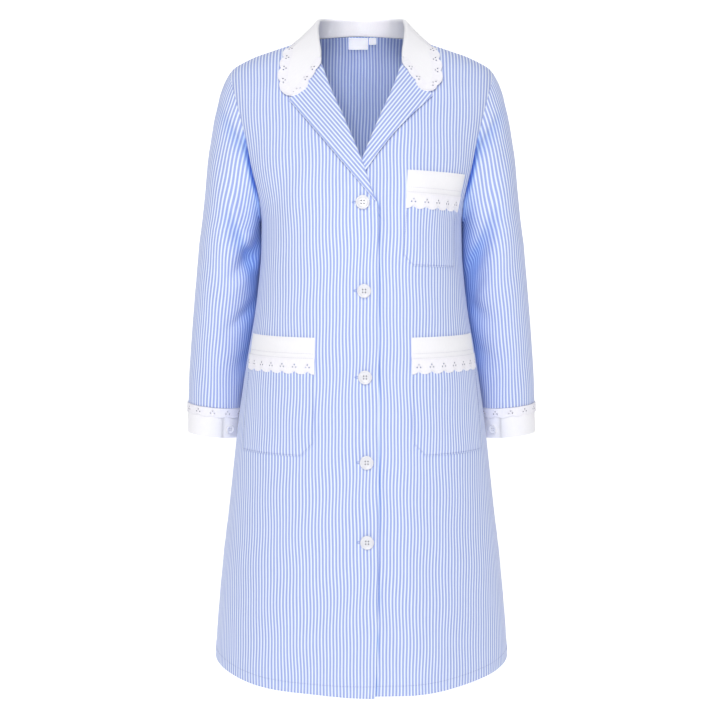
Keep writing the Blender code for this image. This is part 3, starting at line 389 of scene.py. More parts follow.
body = columnsOf("height halfWidth front back frontSquare backSquare", [
    (0.014, 0.056, 0.034, 0.066, 2.6, 2.4), (0.004, 0.072, 0.04, 0.072, 2.6, 2.4),
    (-0.0075, 0.101, 0.05, 0.078, 2.6, 2.4), (-0.0165, 0.128, 0.056, 0.0825, 2.6, 2.4),
    (-0.028, 0.16, 0.063, 0.087, 2.6, 2.5), (-0.0455, 0.189, 0.073, 0.0925, 2.6, 2.5),
    (-0.06, 0.1955, 0.081, 0.096, 2.6, 2.5), (-0.075, 0.1962, 0.09, 0.099, 2.6, 2.5),
    (-0.094, 0.1937, 0.099, 0.103, 2.6, 2.5), (-0.118, 0.1872, 0.111, 0.107, 2.6, 2.5),
    (-0.144, 0.1812, 0.1235, 0.11, 2.5, 2.5), (-0.17, 0.174, 0.1335, 0.112, 2.45, 2.4),
    (-0.195, 0.1663, 0.141, 0.1125, 2.4, 2.4), (-0.218, 0.1583, 0.1465, 0.112, 2.35, 2.35),
    (-0.24, 0.151, 0.149, 0.111, 2.3, 2.3), (-0.262, 0.1465, 0.15, 0.1095, 2.3, 2.3),
    (-0.304, 0.1472, 0.148, 0.106, 2.3, 2.3), (-0.35, 0.151, 0.143, 0.102, 2.3, 2.3),
    (-0.4, 0.1575, 0.139, 0.1, 2.3, 2.3), (-0.45, 0.1665, 0.141, 0.106, 2.3, 2.3),
    (-0.5, 0.1745, 0.145, 0.116, 2.35, 2.35), (-0.56, 0.183, 0.15, 0.126, 2.35, 2.35),
    (-0.62, 0.19, 0.154, 0.134, 2.3, 2.3), (-0.7, 0.199, 0.159, 0.142, 2.25, 2.25),
    (-0.77, 0.2075, 0.163, 0.148, 2.2, 2.2), (-0.85, 0.215, 0.168, 0.154, 2.15, 2.15),
    (-0.94, 0.222, 0.173, 0.16, 2.1, 2.1)])

armhole = columnsOf("height front back", [
    (-0.0455, 0.189, 0.189), (-0.062, 0.1868, 0.1875), (-0.082, 0.1812, 0.1835),
    (-0.118, 0.1716, 0.1745), (-0.144, 0.165, 0.168), (-0.17, 0.1595, 0.161),
    (-0.195, 0.1545, 0.1545), (-0.218, 0.149, 0.149), (-0.24, 0.1455, 0.1455),
    (-0.254, 0.1455, 0.1455), (-0.262, 0.1465, 0.1465)])

# neck seam, roll line of the lapel, then front edge
innerEdge = columnsOf("height x", [
    (0.004, 0.072), (-0.006, 0.0695), (-0.016, 0.0665), (-0.028, 0.0625), (-0.043, 0.0573),
    (-0.079, 0.0439), (-0.1234, 0.0243), (-0.1862, -0.0011), (-0.2265, -0.015), (-0.243, -0.0232),
    (-0.728, -0.0236), (-0.94, -0.0187)])

shoulder = columnsOf("x height", [
    (0.072, 0.004), (0.101, -0.0075), (0.128, -0.0165), (0.144, -0.022), (0.16, -0.028),
    (0.176, -0.036), (0.189, -0.0455)])

# lines across the panels from the shoulder to the armpit: height at the front's inner
# edge, at the centre back and at the armhole, and how much of the shoulder's curve is left
yoke = columnsOf("inner centreBack armhole shoulderShare", [
    (0.004, 0.014, -0.0455, 1.0), (0.001, 0.009, -0.053, 0.97), (-0.007, -0.001, -0.066, 0.9),
    (-0.018, -0.014, -0.084, 0.8), (-0.034, -0.032, -0.104, 0.65), (-0.056, -0.055, -0.124, 0.5),
    (-0.084, -0.083, -0.144, 0.35), (-0.117, -0.115, -0.165, 0.2),
    (-0.15, -0.148, -0.186, 0.1), (-0.181, -0.18, -0.207, 0.04), (-0.209, -0.208, -0.227, 0.0),
    (-0.233, -0.233, -0.245, 0.0), (-0.262, -0.262, -0.262, 0.0)])
yoke["line"] = np.arange(13.0)

lap = columnsOf("height depth", [
    (0.01, 0.0), (-0.1, 0.0), (-0.165, 0.0058), (-0.25, 0.0058), (-0.32, 0.0026),
    (-0.94, 0.0026)])

cut = {
    "shoulderX": 0.189, "shoulderHeight": -0.0455,
    "neckX": 0.072, "neckHeight": 0.004, "neckRiseBehind": 0.01,
    "armpit": -0.262, "hem": -0.924, "hemSideRise": 0.015, "topFrontDrop": 0.0025,
    "lapFullX": 0.03, "lapEndX": 0.072, "seamGap": 0.3 * mm,
    "thickness": 0.9 * mm, "foldThickness": 1.7 * mm, "hemDepth": 14.6 * mm,
    "frontColumns": 76, "backColumns": 132, "yokeRows": 66, "lowerRows": 150,
    "facing": 0.03,        # width of the doubled cloth along the front edge
    "crowding": 0.55,       # how far the stripes draw together where the sides turn away
}

# Soft flutes of the skirt: facing, place across the half width, width, depth, start
flutes = [
    (-1, -0.7, 0.045, 0.0045, -0.52), (-1, -0.34, 0.05, -0.0035, -0.6),
    (-1, 0.42, 0.045, 0.004, -0.58), (-1, 0.74, 0.04, -0.0035, -0.5),
    (1, -0.62, 0.045, 0.006, -0.5), (1, -0.22, 0.05, -0.005, -0.56),
    (1, 0.18, 0.045, 0.0055, -0.6), (1, 0.58, 0.05, -0.005, -0.52)]

# Shallow creases of the body: facing, x, height, slant in degrees, half length, half
# width and depth (a ridge where it is below zero)
bodyCreases = [
    (-1, -0.118, -0.225, 62, 0.06, 0.012, 0.0016), (-1, -0.098, -0.25, 70, 0.07, 0.012, -0.0014),
    (-1, 0.122, -0.235, -66, 0.055, 0.012, 0.0014), (-1, 0.1, -0.262, -74, 0.065, 0.013, -0.0012),
    (-1, -0.06, -0.33, 84, 0.08, 0.02, 0.001), (-1, 0.055, -0.345, -82, 0.075, 0.02, 0.001),
    (-1, -0.03, -0.56, 88, 0.11, 0.02, 0.0012), (-1, 0.03, -0.64, 90, 0.12, 0.018, 0.0014),
    (-1, -0.085, -0.7, 86, 0.14, 0.022, -0.0014), (-1, 0.095, -0.72, 93, 0.14, 0.022, 0.0014),
    (-1, -0.15, -0.16, 75, 0.04, 0.01, 0.0012), (-1, 0.152, -0.165, -75, 0.04, 0.01, 0.0012),
    (1, -0.085, -0.19, 76, 0.08, 0.018, 0.0024), (1, 0.09, -0.205, -74, 0.075, 0.018, 0.0024),
    (1, -0.04, -0.36, 20, 0.06, 0.014, 0.002), (1, 0.05, -0.385, -18, 0.06, 0.014, 0.002),
    (1, 0.01, -0.42, 5, 0.07, 0.015, 0.0018), (1, -0.1, -0.64, 86, 0.13, 0.024, 0.0026),
    (1, 0.105, -0.68, 94, 0.13, 0.024, 0.0024), (1, 0.0, -0.76, 90, 0.12, 0.022, -0.002)]


def creased(x, height, facing):
    depth = np.zeros(np.broadcast(x, height).shape)
    for rowFacing, atX, atHeight, slant, length, width, deep in bodyCreases:
        if rowFacing == facing:
            along, across = slanted(x - atX, height - atHeight, slant)
            depth = depth - deep * dip(along, length, across, width)
    return depth


def fluted(x, height, facing):
    half = look(body, "halfWidth", height)
    depth = np.zeros(np.broadcast(x, height).shape)
    for rowFacing, place, width, deep, start in flutes:
        if rowFacing == facing:
            grown = ease((start - height) / (start - cut["hem"]))
            depth = depth + deep * grown * dip(x - place * half, width)
    return depth * (1 - np.minimum(np.abs(x) / half, 1) ** 6)


def bodyY(x, height, facing):
    # depth of the front (-1) or back (+1) surface at a world x
    name = "front" if facing < 0 else "back"
    depth = look(body, name, height)
    square = look(body, name + "Square", height)
    share = np.minimum(np.abs(x) / look(body, "halfWidth", height), 1.0)
    fade = 1 - share ** 8
    return facing * (depth * (1 - share ** square) ** (1 / square) + fluted(x, height, facing)
                     + fade * creased(x, height, facing))


def frontY(side, x, height):
    # the same for one front, with x on its own side; the left front lies under the right
    y = bodyY(side * x, height, -1)
    if side > 0:
        inset = look(lap, "depth", height)
        y = y + inset * (1 - ease((x - cut["lapFullX"]) / (cut["lapEndX"] - cut["lapFullX"])))
    return y


def hemHeight(x, drop=0.0):
    share = np.minimum(np.abs(x) / body["halfWidth"][-1], 1.0)
    return cut["hem"] - drop + cut["hemSideRise"] * share ** 3


def frontAt(side, x, height):
    x, height = np.broadcast_arrays(x, height)
    return np.stack((x, frontY(side, x, height), height), -1)


def clothAcross(surfaceY, x, height):
    # length along the cloth from the centre to x; over the shoulder it fades to plain x
    share = np.sin(math.pi / 2 * np.linspace(0, 1, 49))
    xs = x[..., None] * share
    ys = surfaceY(xs, height[..., None])
    length = np.hypot(np.diff(xs, axis=-1), np.diff(ys, axis=-1)).sum(-1) * np.sign(x)
    return x + cut["crowding"] * ease((-0.03 - height) / 0.12) * (length - x)


lastLine = yoke["line"][-1]
outward = np.sin(math.pi / 2 * np.linspace(0, 1, 161))      # closer together at the sides
yokeLine = np.linspace(0, lastLine, 241)[:, None]
atArmhole = look(yoke, "armhole", yokeLine, "line")
curveLeft = look(yoke, "shoulderShare", yokeLine, "line")
down = np.linspace(0, 1, 161)[:, None]
level = mix(cut["armpit"], cut["hem"], down)


def frontGrid(side):
    inner = look(yoke, "inner", yokeLine, "line")
    bulge = (look(shoulder, "height", mix(cut["neckX"], cut["shoulderX"], outward), "x")
             - mix(cut["neckHeight"], cut["shoulderHeight"], outward))
    x = mix(look(innerEdge, "x", inner), look(armhole, "front", atArmhole), outward)
    top = frontAt(side, x, mix(inner, atArmhole, outward) + curveLeft * bulge)
    top[0, :, 1] = -cut["seamGap"] / 2
    innerX = look(innerEdge, "x", level)
    x = mix(innerX, look(body, "halfWidth", level), outward)
    drop = cut["topFrontDrop"] * (1 - ease((x - innerX) / 0.1)) if side < 0 else 0.0
    low = frontAt(side, x, mix(cut["armpit"], hemHeight(x, drop), down))
    return joinParts(top, low, cut["frontColumns"], -cut["seamGap"] / 2)


def joinParts(top, low, columns, seamY):
    top, low = evenly(top, columns), evenly(low, columns)
    top = np.swapaxes(evenly(np.swapaxes(top, 0, 1), cut["yokeRows"]), 0, 1)
    low = np.swapaxes(evenly(np.swapaxes(low, 0, 1), cut["lowerRows"]), 0, 1)
    grid = np.concatenate((top, low[1:]))
    grid[cut["yokeRows"]:, -1, 1] = seamY
    return grid


def backGrid():
    centre = look(yoke, "centreBack", yokeLine, "line")
    neckShare = cut["neckX"] / cut["shoulderX"]
    overNeck = cut["neckHeight"] + cut["neckRiseBehind"] * (1 - (outward / neckShare) ** 2)
    top = np.where(outward < neckShare, overNeck,
                   look(shoulder, "height", outward * cut["shoulderX"], "x"))
    straight = mix(yoke["centreBack"][0], cut["shoulderHeight"], outward)
    height = mix(centre, atArmhole, outward) + curveLeft * (top - straight)
    x = outward * look(armhole, "back", atArmhole)
    lowX = outward * look(body, "halfWidth", level)
    lowHeight = mix(cut["armpit"], hemHeight(lowX), down)
    halves = []
    for sign in (1, -1):
        upper = np.stack((x, bodyY(sign * x, height, 1), height), -1)
        upper[0, outward >= neckShare, 1] = cut["seamGap"] / 2
        lower = np.stack((lowX, bodyY(sign * lowX, lowHeight, 1), lowHeight), -1)
        half = joinParts(upper, lower, cut["backColumns"] // 2, cut["seamGap"] / 2)
        halves.append(half * (sign, 1, 1))
    return np.concatenate((halves[1][:, :0:-1], halves[0]), axis=1)


def drifted(across, along):
    # the grain of worn cloth is never quite straight: it sways by up to a millimetre
    return (across + 0.55 * mm * np.sin(along / 0.024 + 2.2 * np.sin(across / 0.037))
            + 0.4 * mm * np.sin(along / 0.0125 + across / 0.019 + 1.3)
            + 0.9 * mm * np.sin(along / 0.085 + across / 0.06))


def clothUv(grid, surfaceY):
    x, height = grid[..., 0], grid[..., 2]
    along = height - hemHeight(x)
    return np.stack((drifted(clothAcross(surfaceY, x, height), along), along), -1)


def wallOf(grid, normals, foldAt):
    # one layer of cloth, thicker where it is folded
    above = grid[..., 2] - hemHeight(grid[..., 0])
    fold = np.maximum(1 - ease((above - cut["hemDepth"]) / (1.5 * mm)), foldAt)
    return grid - normals * mix(cut["thickness"], cut["foldThickness"], fold)[..., None]


def paintShade(piece, outside, inside):
    # painted shade for either face: how deep each point lies between two layers of cloth, or above
    # 1, how far down in the cleft of a seam
    layer = piece.data.attributes.new("paintedShade", "FLOAT", "POINT")
    both = np.concatenate((outside.ravel(), inside.ravel()))
    layer.data.foreach_set("value", both.astype(np.float32))


edgeShade = {"most": 1.2, "width": 1.5 * mm, "top": -0.205}
fronts = {}
for side, name in bothSides:
    grid = frontGrid(side)
    normals = gridNormals(grid)
    for edge in (normals[0], normals[cut["yokeRows"]:, -1]):
        edge[..., 1] = 0.0
        edge[:] = unit(edge)
    surfaceY = partial(frontY, side)
    fromEdge = clothAcross(surfaceY, grid[..., 0], grid[..., 2])
    fold = 1 - ease((fromEdge - fromEdge[:, :1] - cut["facing"]) / (2 * mm))
    uv = clothUv(grid, surfaceY)
    uv[..., 0] *= side
    piece = shell("front_%s_cloth" % name, grid, wallOf(grid, normals, fold), uv, stripedPoplin,
                  mirror=side < 0)
    # painted shadow on the left front beside the edge of the right front
    if side > 0:      # beside the edge of the right front, which lies on top
        beyond = grid[..., 0] + look(innerEdge, "x", grid[..., 2])
        shade = (edgeShade["most"] * dip(beyond, edgeShade["width"])
                 * ease((edgeShade["top"] - grid[..., 2]) / 0.02))
        paintShade(piece, shade, shade)
    declare(piece, ["front_" + name], (0.36, 0.975), areaOf(grid))
    fronts[side] = {"grid": grid, "normals": normals}

backPanel = backGrid()
backNormals = -gridNormals(backPanel)
for edge in (backNormals[0, np.abs(backPanel[0, :, 0]) >= cut["neckX"] - mm],
             backNormals[cut["yokeRows"]:, -1], backNormals[cut["yokeRows"]:, 0]):
    edge[..., 1] = 0.0
piece = shell("back_cloth", backPanel, wallOf(backPanel, unit(backNormals), 0.0),
              clothUv(backPanel, partial(bodyY, facing=1)), stripedPoplin)
# painted shade over the back's inner face, seen inside the neck
shade = np.zeros(backPanel.shape[:2])
paintShade(piece, shade, shade + 0.32)      # the inside of the neck
declare(piece, ["back"], (0.64, 0.985), areaOf(backPanel))
print("body panels made")


# Sleeves: level sections of the left one, then the cap that joins it to the armhole

arm = columnsOf("height x y halfWidth halfDepth", [
    (-0.275, 0.1943, 0.0085, 0.0425, 0.06), (-0.3, 0.1964, 0.012, 0.0443, 0.058),
    (-0.35, 0.2015, 0.018, 0.0445, 0.055), (-0.4, 0.2075, 0.026, 0.044, 0.053),
    (-0.45, 0.2138, 0.034, 0.0427, 0.051), (-0.5, 0.2188, 0.042, 0.0422, 0.0495),
    (-0.5385, 0.2215, 0.047, 0.0415, 0.048), (-0.59, 0.2245, 0.052, 0.0405, 0.0465)])

sleeve = {
    "top": -0.275, "end": -0.5383, "cuffTop": -0.5385, "cuffBottom": -0.584, "tilt": 0.1,
    "leave": (0.64, 0.0, -0.77), "leavePull": 0.6, "arrivePull": 1.05,
    # the arm hangs forward, so the grain turns outward as it goes down
    "twist": 0.022, "twistReach": 0.16, "underarm": 0.15, "uprightEnd": -0.32,
    "capRows": 48, "armRows": 78, "thickness": 0.9 * mm, "creaseDepth": 1.35,
    # the cloth of the inner side, towards the back, spreads until it rests on the body
    "spread": 0.014, "spreadAngle": 3.55, "spreadWidth": 0.62, "restGap": 1.2 * mm,
    # drag folds of the cap: x, height, slant in degrees, half length, half width and depth
    "folds": [(0.176, -0.148, 60, 0.048, 0.0075, 0.0036), (0.171, -0.3, 70, 0.06, 0.01, 0.0044),
              (0.203, -0.205, 66, 0.05, 0.012, -0.0016)],
    "gatherDepth": 0.35 * mm, "gatherPitch": 9 * mm, "gatherReach": 16 * mm,
}

# Creases of the sleeves: height, angle from the outer side towards the front, half length
# round the arm, half width, depth and slant. The right sleeve has its own folds.
armCreases = {
    -1: [(-0.286, 2.3, 0.026, 0.013, -0.003, 0.9), (-0.316, 2.45, 0.032, 0.015, 0.007, 0.7),
         (-0.352, 2.2, 0.03, 0.016, -0.0016, 0.5), (-0.397, 2.5, 0.03, 0.014, 0.005, 0.6),
         (-0.425, 1.9, 0.03, 0.02, 0.0018, -0.4), (-0.47, 2.6, 0.03, 0.018, 0.0025, 0.3),
         (-0.345, 4.1, 0.035, 0.016, 0.0045, 0.5), (-0.4, 4.6, 0.035, 0.018, 0.003, -0.4)],
    1: [(-0.28, 2.05, 0.034, 0.018, 0.003, -0.9), (-0.312, 2.25, 0.036, 0.02, 0.005, -0.9),
        (-0.352, 2.4, 0.034, 0.018, 0.0045, -0.7), (-0.392, 2.5, 0.03, 0.016, 0.0035, 0.4),
        (-0.335, 1.75, 0.03, 0.02, -0.0018, -0.8), (-0.455, 2.5, 0.03, 0.018, 0.0025, 0.3),
        (-0.355, 4.1, 0.035, 0.016, 0.0045, -0.5), (-0.41, 4.6, 0.035, 0.018, 0.003, 0.4)],
}


def armPoint(side, angle, height, grow=0.0):
    angle, height = np.broadcast_arrays(angle, height)
    dent = np.zeros(angle.shape)
    for atHeight, atAngle, length, width, deep, slant in armCreases[side]:
        around = (np.mod(angle, 2 * math.pi) - atAngle) * arm["halfDepth"][2]
        across = height - atHeight - slant * around
        dent = dent + sleeve["creaseDepth"] * deep * dip(around, length, across, width)
    dent = dent * ease((height - sleeve["cuffTop"]) / 0.03)
    out = np.cos(angle) * (look(arm, "halfWidth", height) + grow - dent)
    depth = look(arm, "halfDepth", height) + grow - dent
    tilt = sleeve["tilt"] * ease((sleeve["top"] - height) / (sleeve["top"] - sleeve["cuffTop"]))
    x, y = look(arm, "x", height) + out, look(arm, "y", height) - np.sin(angle) * depth
    reach = ease((height - sleeve["cuffTop"] - 0.01) / 0.05)
    x = x - sleeve["spread"] * reach * dip(np.mod(angle, 2 * math.pi) - sleeve["spreadAngle"],
                                           sleeve["spreadWidth"])
    return np.stack((restingX(x, y, height), y, height + tilt * out), -1)


def restingX(x, y, height):
    # x kept clear of the side of the body at this depth
    depth = look(body, "back", height) * np.where(y > 0, 1.0, 1.3)
    square = look(body, "backSquare", height)
    share = np.minimum(np.abs(y) / depth, 0.999)
    side = look(body, "halfWidth", height) * (1 - share ** square) ** (1 / square)
    wall, soft = side + sleeve["restGap"], 2 * mm
    return wall + soft * np.logaddexp(0, (x - wall) / soft)


def armholeRing():
    # from the armpit up the front, over the shoulder and down the back
    last = cut["yokeRows"]
    front, back = fronts[1]["grid"], backPanel
    ring = np.concatenate((front[last:0:-1, -1], back[:last, -1]))
    inside = np.concatenate((front[last:0:-1, -2], back[:last, -2]))
    facing = np.concatenate((fronts[1]["normals"][last:0:-1, -1], backNormals[:last, -1]))
    ring[(0, last), 1] = 0.0
    along = np.roll(ring, -1, axis=0) - np.roll(ring, 1, axis=0)
    out = unit(np.cross(along, facing))
    wrong = np.einsum("ij,ij->i", out, ring - inside) < 0
    out[wrong] *= -1
    out = unit(out + np.roll(out, 1, axis=0) + np.roll(out, -1, axis=0))
    angle = math.pi / lastLine * np.interp(-ring[:, 2], -yoke["armhole"], yoke["line"])
    return ring, out, np.where(np.arange(len(ring)) <= last, angle, -angle)


def foldedIn(grid, fromSeam):
    # steep on the side of the armhole and shallow on the other
    depth = np.zeros(grid.shape[:2])
    for atX, atHeight, slant, length, width, deep in sleeve["folds"]:
        along, across = slanted(grid[..., 0] - atX, grid[..., 2] - atHeight, slant)
        reach = width * np.where(across > 0, 0.6, 1.4)
        depth = depth + deep * dip(along, length, across, reach)
    return depth * ease(fromSeam / 0.012)


def sleeveGrid(side, ring, out, angle):
    clear = 0.6 * mm * (0.5 - 0.5 * np.cos(angle)) ** 4
    start = ring + out * cut["seamGap"]
    start[:, 0] += clear
    end = armPoint(side, angle, sleeve["top"])
    ahead = unit(armPoint(side, angle, -0.3) - end)
    reach = np.linalg.norm(end - start, axis=1)[:, None]
    leave = np.array(sleeve["leave"]) * reach * sleeve["leavePull"]
    arrive = ahead * reach * sleeve["arrivePull"]
    t = np.linspace(0, 1, sleeve["capRows"] + 1)[:, None, None]
    cap = (start * (1 + 2 * t) * (1 - t) ** 2 + leave * t * (1 - t) ** 2
           + end * t * t * (3 - 2 * t) - arrive * t * t * (1 - t))
    heights = np.linspace(sleeve["top"], sleeve["end"], sleeve["armRows"] + 1)[1:, None]
    tube = armPoint(side, angle[None, :], heights)
    grid = np.concatenate((cap, tube))
    # tiny gathers where the cap is eased into the armhole, strongest over the shoulder
    normals = outwardOf(grid)
    around = lengthAlong(ring)
    fromSeam = np.cumsum(np.linalg.norm(np.diff(grid, axis=0, prepend=grid[:1]), axis=2), axis=0)
    wave = np.sin(2 * math.pi * around / sleeve["gatherPitch"] + 1.7 * np.sin(around / 0.031))
    strength = ease(fromSeam / (5 * mm)) * (1 - ease(fromSeam / sleeve["gatherReach"]))
    strength = strength * (0.35 + 0.65 * np.cos(angle / 2) ** 2) * sleeve["gatherDepth"]
    return grid + normals * (wave * strength - foldedIn(grid, fromSeam))[..., None], fromSeam


def outwardOf(grid):
    normals = gridNormals(grid, wrap=True)
    centre = grid[-1].mean(axis=0)
    return normals if np.dot(normals[-1, 0], grid[-1, 0] - centre) > 0 else -normals


def sleeveUv(grid, angle, fromSeam):
    # stripes run down the arm; length round from the outer line, at each height
    height = grid[..., 2]
    halfWidth, halfDepth = look(arm, "halfWidth", height), look(arm, "halfDepth", height)
    outerLine = grid[:, np.argmin(np.abs(angle))]
    order = np.argsort(outerLine[:, 2])
    outX = np.interp(height, outerLine[order, 2], outerLine[order, 0])
    centreX = outX - halfWidth
    centreY = look(arm, "y", height)
    turn = np.arctan2((centreY - grid[..., 1]) / halfDepth, (grid[..., 0] - centreX) / halfWidth)
    seam = np.sign(angle) * math.pi
    turn = np.where(np.abs(turn - angle) > math.pi, seam, turn)
    # over the cap the stripes keep to upright planes, down to where the underarm turns away
    under = sleeve["underarm"]
    level = np.clip((2 * (grid[..., 0] - centreX) / halfWidth + under) / (2 + under), -1, 1)
    turn = mix(turn, np.sign(angle) * np.arccos(level),
               ease((height - sleeve["uprightEnd"]) / 0.07))
    share = np.linspace(0, 1, 33)
    steps = np.hypot(halfWidth[..., None] * np.sin(turn[..., None] * share),
                     halfDepth[..., None] * np.cos(turn[..., None] * share))
    twist = sleeve["twist"] * (1 - np.exp(-fromSeam / sleeve["twistReach"]))
    across = turn * steps.mean(-1) + twist
    across = mix(across, drifted(across, fromSeam), np.cos(angle / 2) ** 0.5)
    uv = np.stack((across, -fromSeam), -1)
    closing = uv[:, :1].copy()
    closing[..., 0] *= -1
    return np.concatenate((uv, closing), axis=1)


# amounts of painted shade on the sleeves
armShade = {"sideWidth": 0.75, "sideTop": -0.1, "foldDepth": 7 * mm, "foldMost": 0.6,
            "seam": 1.1, "seamWidth": 7 * mm, "seamTop": -0.135,
            "cleft": 1.2, "cleftWidth": 8 * mm, "cleftTop": -0.12, "cleftEnd": -0.205}
ring, ringOut, ringAngle = armholeRing()
for side, name in bothSides:
    grid, fromSeam = sleeveGrid(side, ring, ringOut, ringAngle)
    inner = grid - outwardOf(grid) * sleeve["thickness"]
    piece = shell("sleeve_%s_cloth" % name, grid, inner, sleeveUv(grid, ringAngle, fromSeam),
                  stripedPoplin, wrap=True, mirror=side < 0)
    # painted shade: the side that faces the body is coloured darker, and so are the folds and the
    # armhole, with a deeper painted shade in the cleft of the armhole seam
    turned = (np.mod(ringAngle, 2 * math.pi) - math.pi) / armShade["sideWidth"]
    height = grid[..., 2]
    shade = (np.exp(-np.abs(turned) ** 3) * ease((armShade["sideTop"] - height) / 0.08)
             * ease((height - sleeve["cuffTop"] + 0.02) / 0.1)
             + np.clip(foldedIn(grid, fromSeam) / armShade["foldDepth"], 0, armShade["foldMost"])
             + armShade["seam"] * dip(fromSeam, armShade["seamWidth"])
             * ease((armShade["seamTop"] - height) / 0.05))
    cleft = (armShade["cleft"] * dip(fromSeam, armShade["cleftWidth"])
             * ease((armShade["cleftTop"] - height) / 0.04)
             * (1 - ease((armShade["cleftEnd"] - height) / 0.04)))
    shade = np.minimum(shade, 1.0) + cleft
    paintShade(piece, shade, shade)
    declare(piece, ["sleeve_" + name], (0.4, 0.6),
            areaOf(np.concatenate((grid, grid[:, :1]), axis=1)))
print("sleeves made")


# Collar: sections from the centre back to the front end

collar = {
    "sections": [
        (0.0, None, 0.0, 0.0605, 0.0397, 0.0, -0.012, "back", 0.0045),
        (0.28, None, 0.0295, 0.0545, 0.0394, 0.035, -0.012, "back", 0.0045),
        (0.55, None, 0.05, 0.037, 0.0367, 0.065, -0.011, "back", 0.0045),
        (0.78, None, 0.061, 0.016, 0.033, 0.089, -0.011, "back", 0.005),
        (1.0, 0.004, 0.064, -0.002, 0.0275, 0.099, -0.0062, "seam", 0.0),
        (1.0, 0.0005, 0.0645, -0.02, 0.0165, 0.103, -0.0175, "front", 0.0035),
        (1.0, -0.0065, 0.0635, -0.036, 0.004, 0.1085, -0.028, "front", 0.005),
        (1.0, -0.0165, 0.062, -0.049, -0.008, 0.1125, -0.041, "front", 0.005),
        (1.0, -0.0245, 0.0605, -0.058, -0.018, 0.115, -0.057, "front", 0.005),
        (1.0, -0.0315, 0.0596, -0.0645, -0.026, 0.1145, -0.076, "front", 0.005),
        (1.0, -0.0365, 0.0589, -0.069, -0.0315, 0.101, -0.093, "front", 0.005)],
    # the wearer's right point hangs a little longer than the left one
    "rightLower": (0, 0, 0, 0, 0, 0.001, 0.002, 0.002, 0.002, 0.002, 0.002),
    "leftLower": (0, 0, 0, 0, 0, 0, -0.001, -0.002, -0.003, -0.0045, -0.0055),
    "leftNarrower": (0, 0, 0, 0, 0.001, 0.0015, 0.002, 0.0025, 0.003, 0.003, 0.002),
    "roll": 0.0035, "lace": 0.012, "notchLace": 0.009, "laceLap": 0.003, "thickness": 1.4 * mm,
    "steps": (8, 12, 16),      # up the stand, round the roll and down the fall
    "alongSteps": 9, "scallops": 34,
}


def collarProfile(section):
    standSteps, rollSteps, fallSteps = collar["steps"]
    share, seamHeight, rollX, rollY, rollZ, edgeX, edgeZ, edgeOn, lift = section
    if share < 1:
        x = cut["neckX"] * math.sin(math.pi / 2 * share)
        z = cut["neckHeight"] + cut["neckRiseBehind"] * (1 - (x / cut["neckX"]) ** 2)
        seam = np.array((x, bodyY(x, z, 1), z + 2 * cut["seamGap"]))
    else:
        x = float(look(innerEdge, "x", seamHeight))
        seam = np.array((x, bodyY(x, seamHeight, -1), seamHeight + 2 * cut["seamGap"]))
    facing = {"back": 1, "seam": 0, "front": -1}[edgeOn]
    edgeY = facing * (abs(bodyY(edgeX, edgeZ, facing)) + lift) if facing else 0.0
    edge = np.array((edgeX, edgeY, edgeZ))
    roll = np.array((rollX, rollY, rollZ))
    reach = np.array((edge[0] - roll[0], edge[1] - roll[1], 0.0))
    out = unit(reach)
    fall = math.atan2(roll[2] - edge[2], np.linalg.norm(reach))
    radius = min(collar["roll"], 0.6 * (roll[2] - seam[2]))
    centre = roll - (0, 0, radius)
    base, first = seam - out * 1.5 * mm, centre - out * radius
    points = [mix(base, first, k / standSteps) for k in range(standSteps)]
    for k in range(rollSteps + 1):
        turn = mix(math.pi, math.pi / 2 - fall, k / rollSteps)
        points.append(centre + out * radius * math.cos(turn)
                      + np.array((0, 0, radius * math.sin(turn))))
    start = points[-1]
    end = mix(start, edge, 1 - collar["lace"] / np.linalg.norm(edge - start))
    points += [mix(start, end, k / fallSteps) for k in range(1, fallSteps + 1)]
    return points


def collarGrid():
    sides = []
    for lower, narrower in (("rightLower", None), ("leftLower", "leftNarrower")):
        less = collar[narrower] if narrower else [0] * len(collar["sections"])
        sections = [section[:5] + (section[5] - shift, section[6] - drop) + section[7:]
                    for section, drop, shift in zip(collar["sections"], collar[lower], less)]
        sides.append(np.array([collarProfile(section) for section in sections], dtype=float))
    return np.concatenate((sides[0][:0:-1] * (-1, 1, 1), sides[1]))


def collarNormals(grid):
    normals = gridNormals(grid)
    return -normals if normals[len(grid) // 2, 0, 1] > 0 else normals


collarFine = roundedLine(collarGrid(), collar["alongSteps"])
fineNormals = collarNormals(collarFine)
alongSeam = lengthAlong(collarFine[:, -1])
acrossFall = lengthAlong(collarFine[len(collarFine) // 2])
collarUv = np.stack(np.meshgrid(alongSeam, acrossFall, indexing="ij"), -1)
piece = shell("collar_cloth", collarFine, collarFine - fineNormals * collar["thickness"],
              collarUv, whitePoplin)
declare(piece, ["collar"], (0.56, 0.11), areaOf(collarFine))
print("collar made")


# Lapels, folded over at the roll line and laid on the fronts

lapels = {
    -1: {"tip": (0.101, -0.0947), "bow": 0.0, "length": 0.97},
    1: {"tip": (0.0995, -0.088), "bow": 0.009, "length": 0.85},
}
lapelCut = {"rollTop": -0.043, "rollEnd": -0.24, "bowAcross": 0.75, "bowUp": 0.66,
            "liftAtCollar": 0.8 * mm, "liftAtMiddle": 2.0 * mm, "layGap": 1.0 * mm,
            "thickness": 1.2 * mm, "foldRoom": 2.2 * mm, "foldFlat": 0.8, "stripeSpread": 1.03,
            "rows": 90, "columns": 30, "foldSteps": 10}


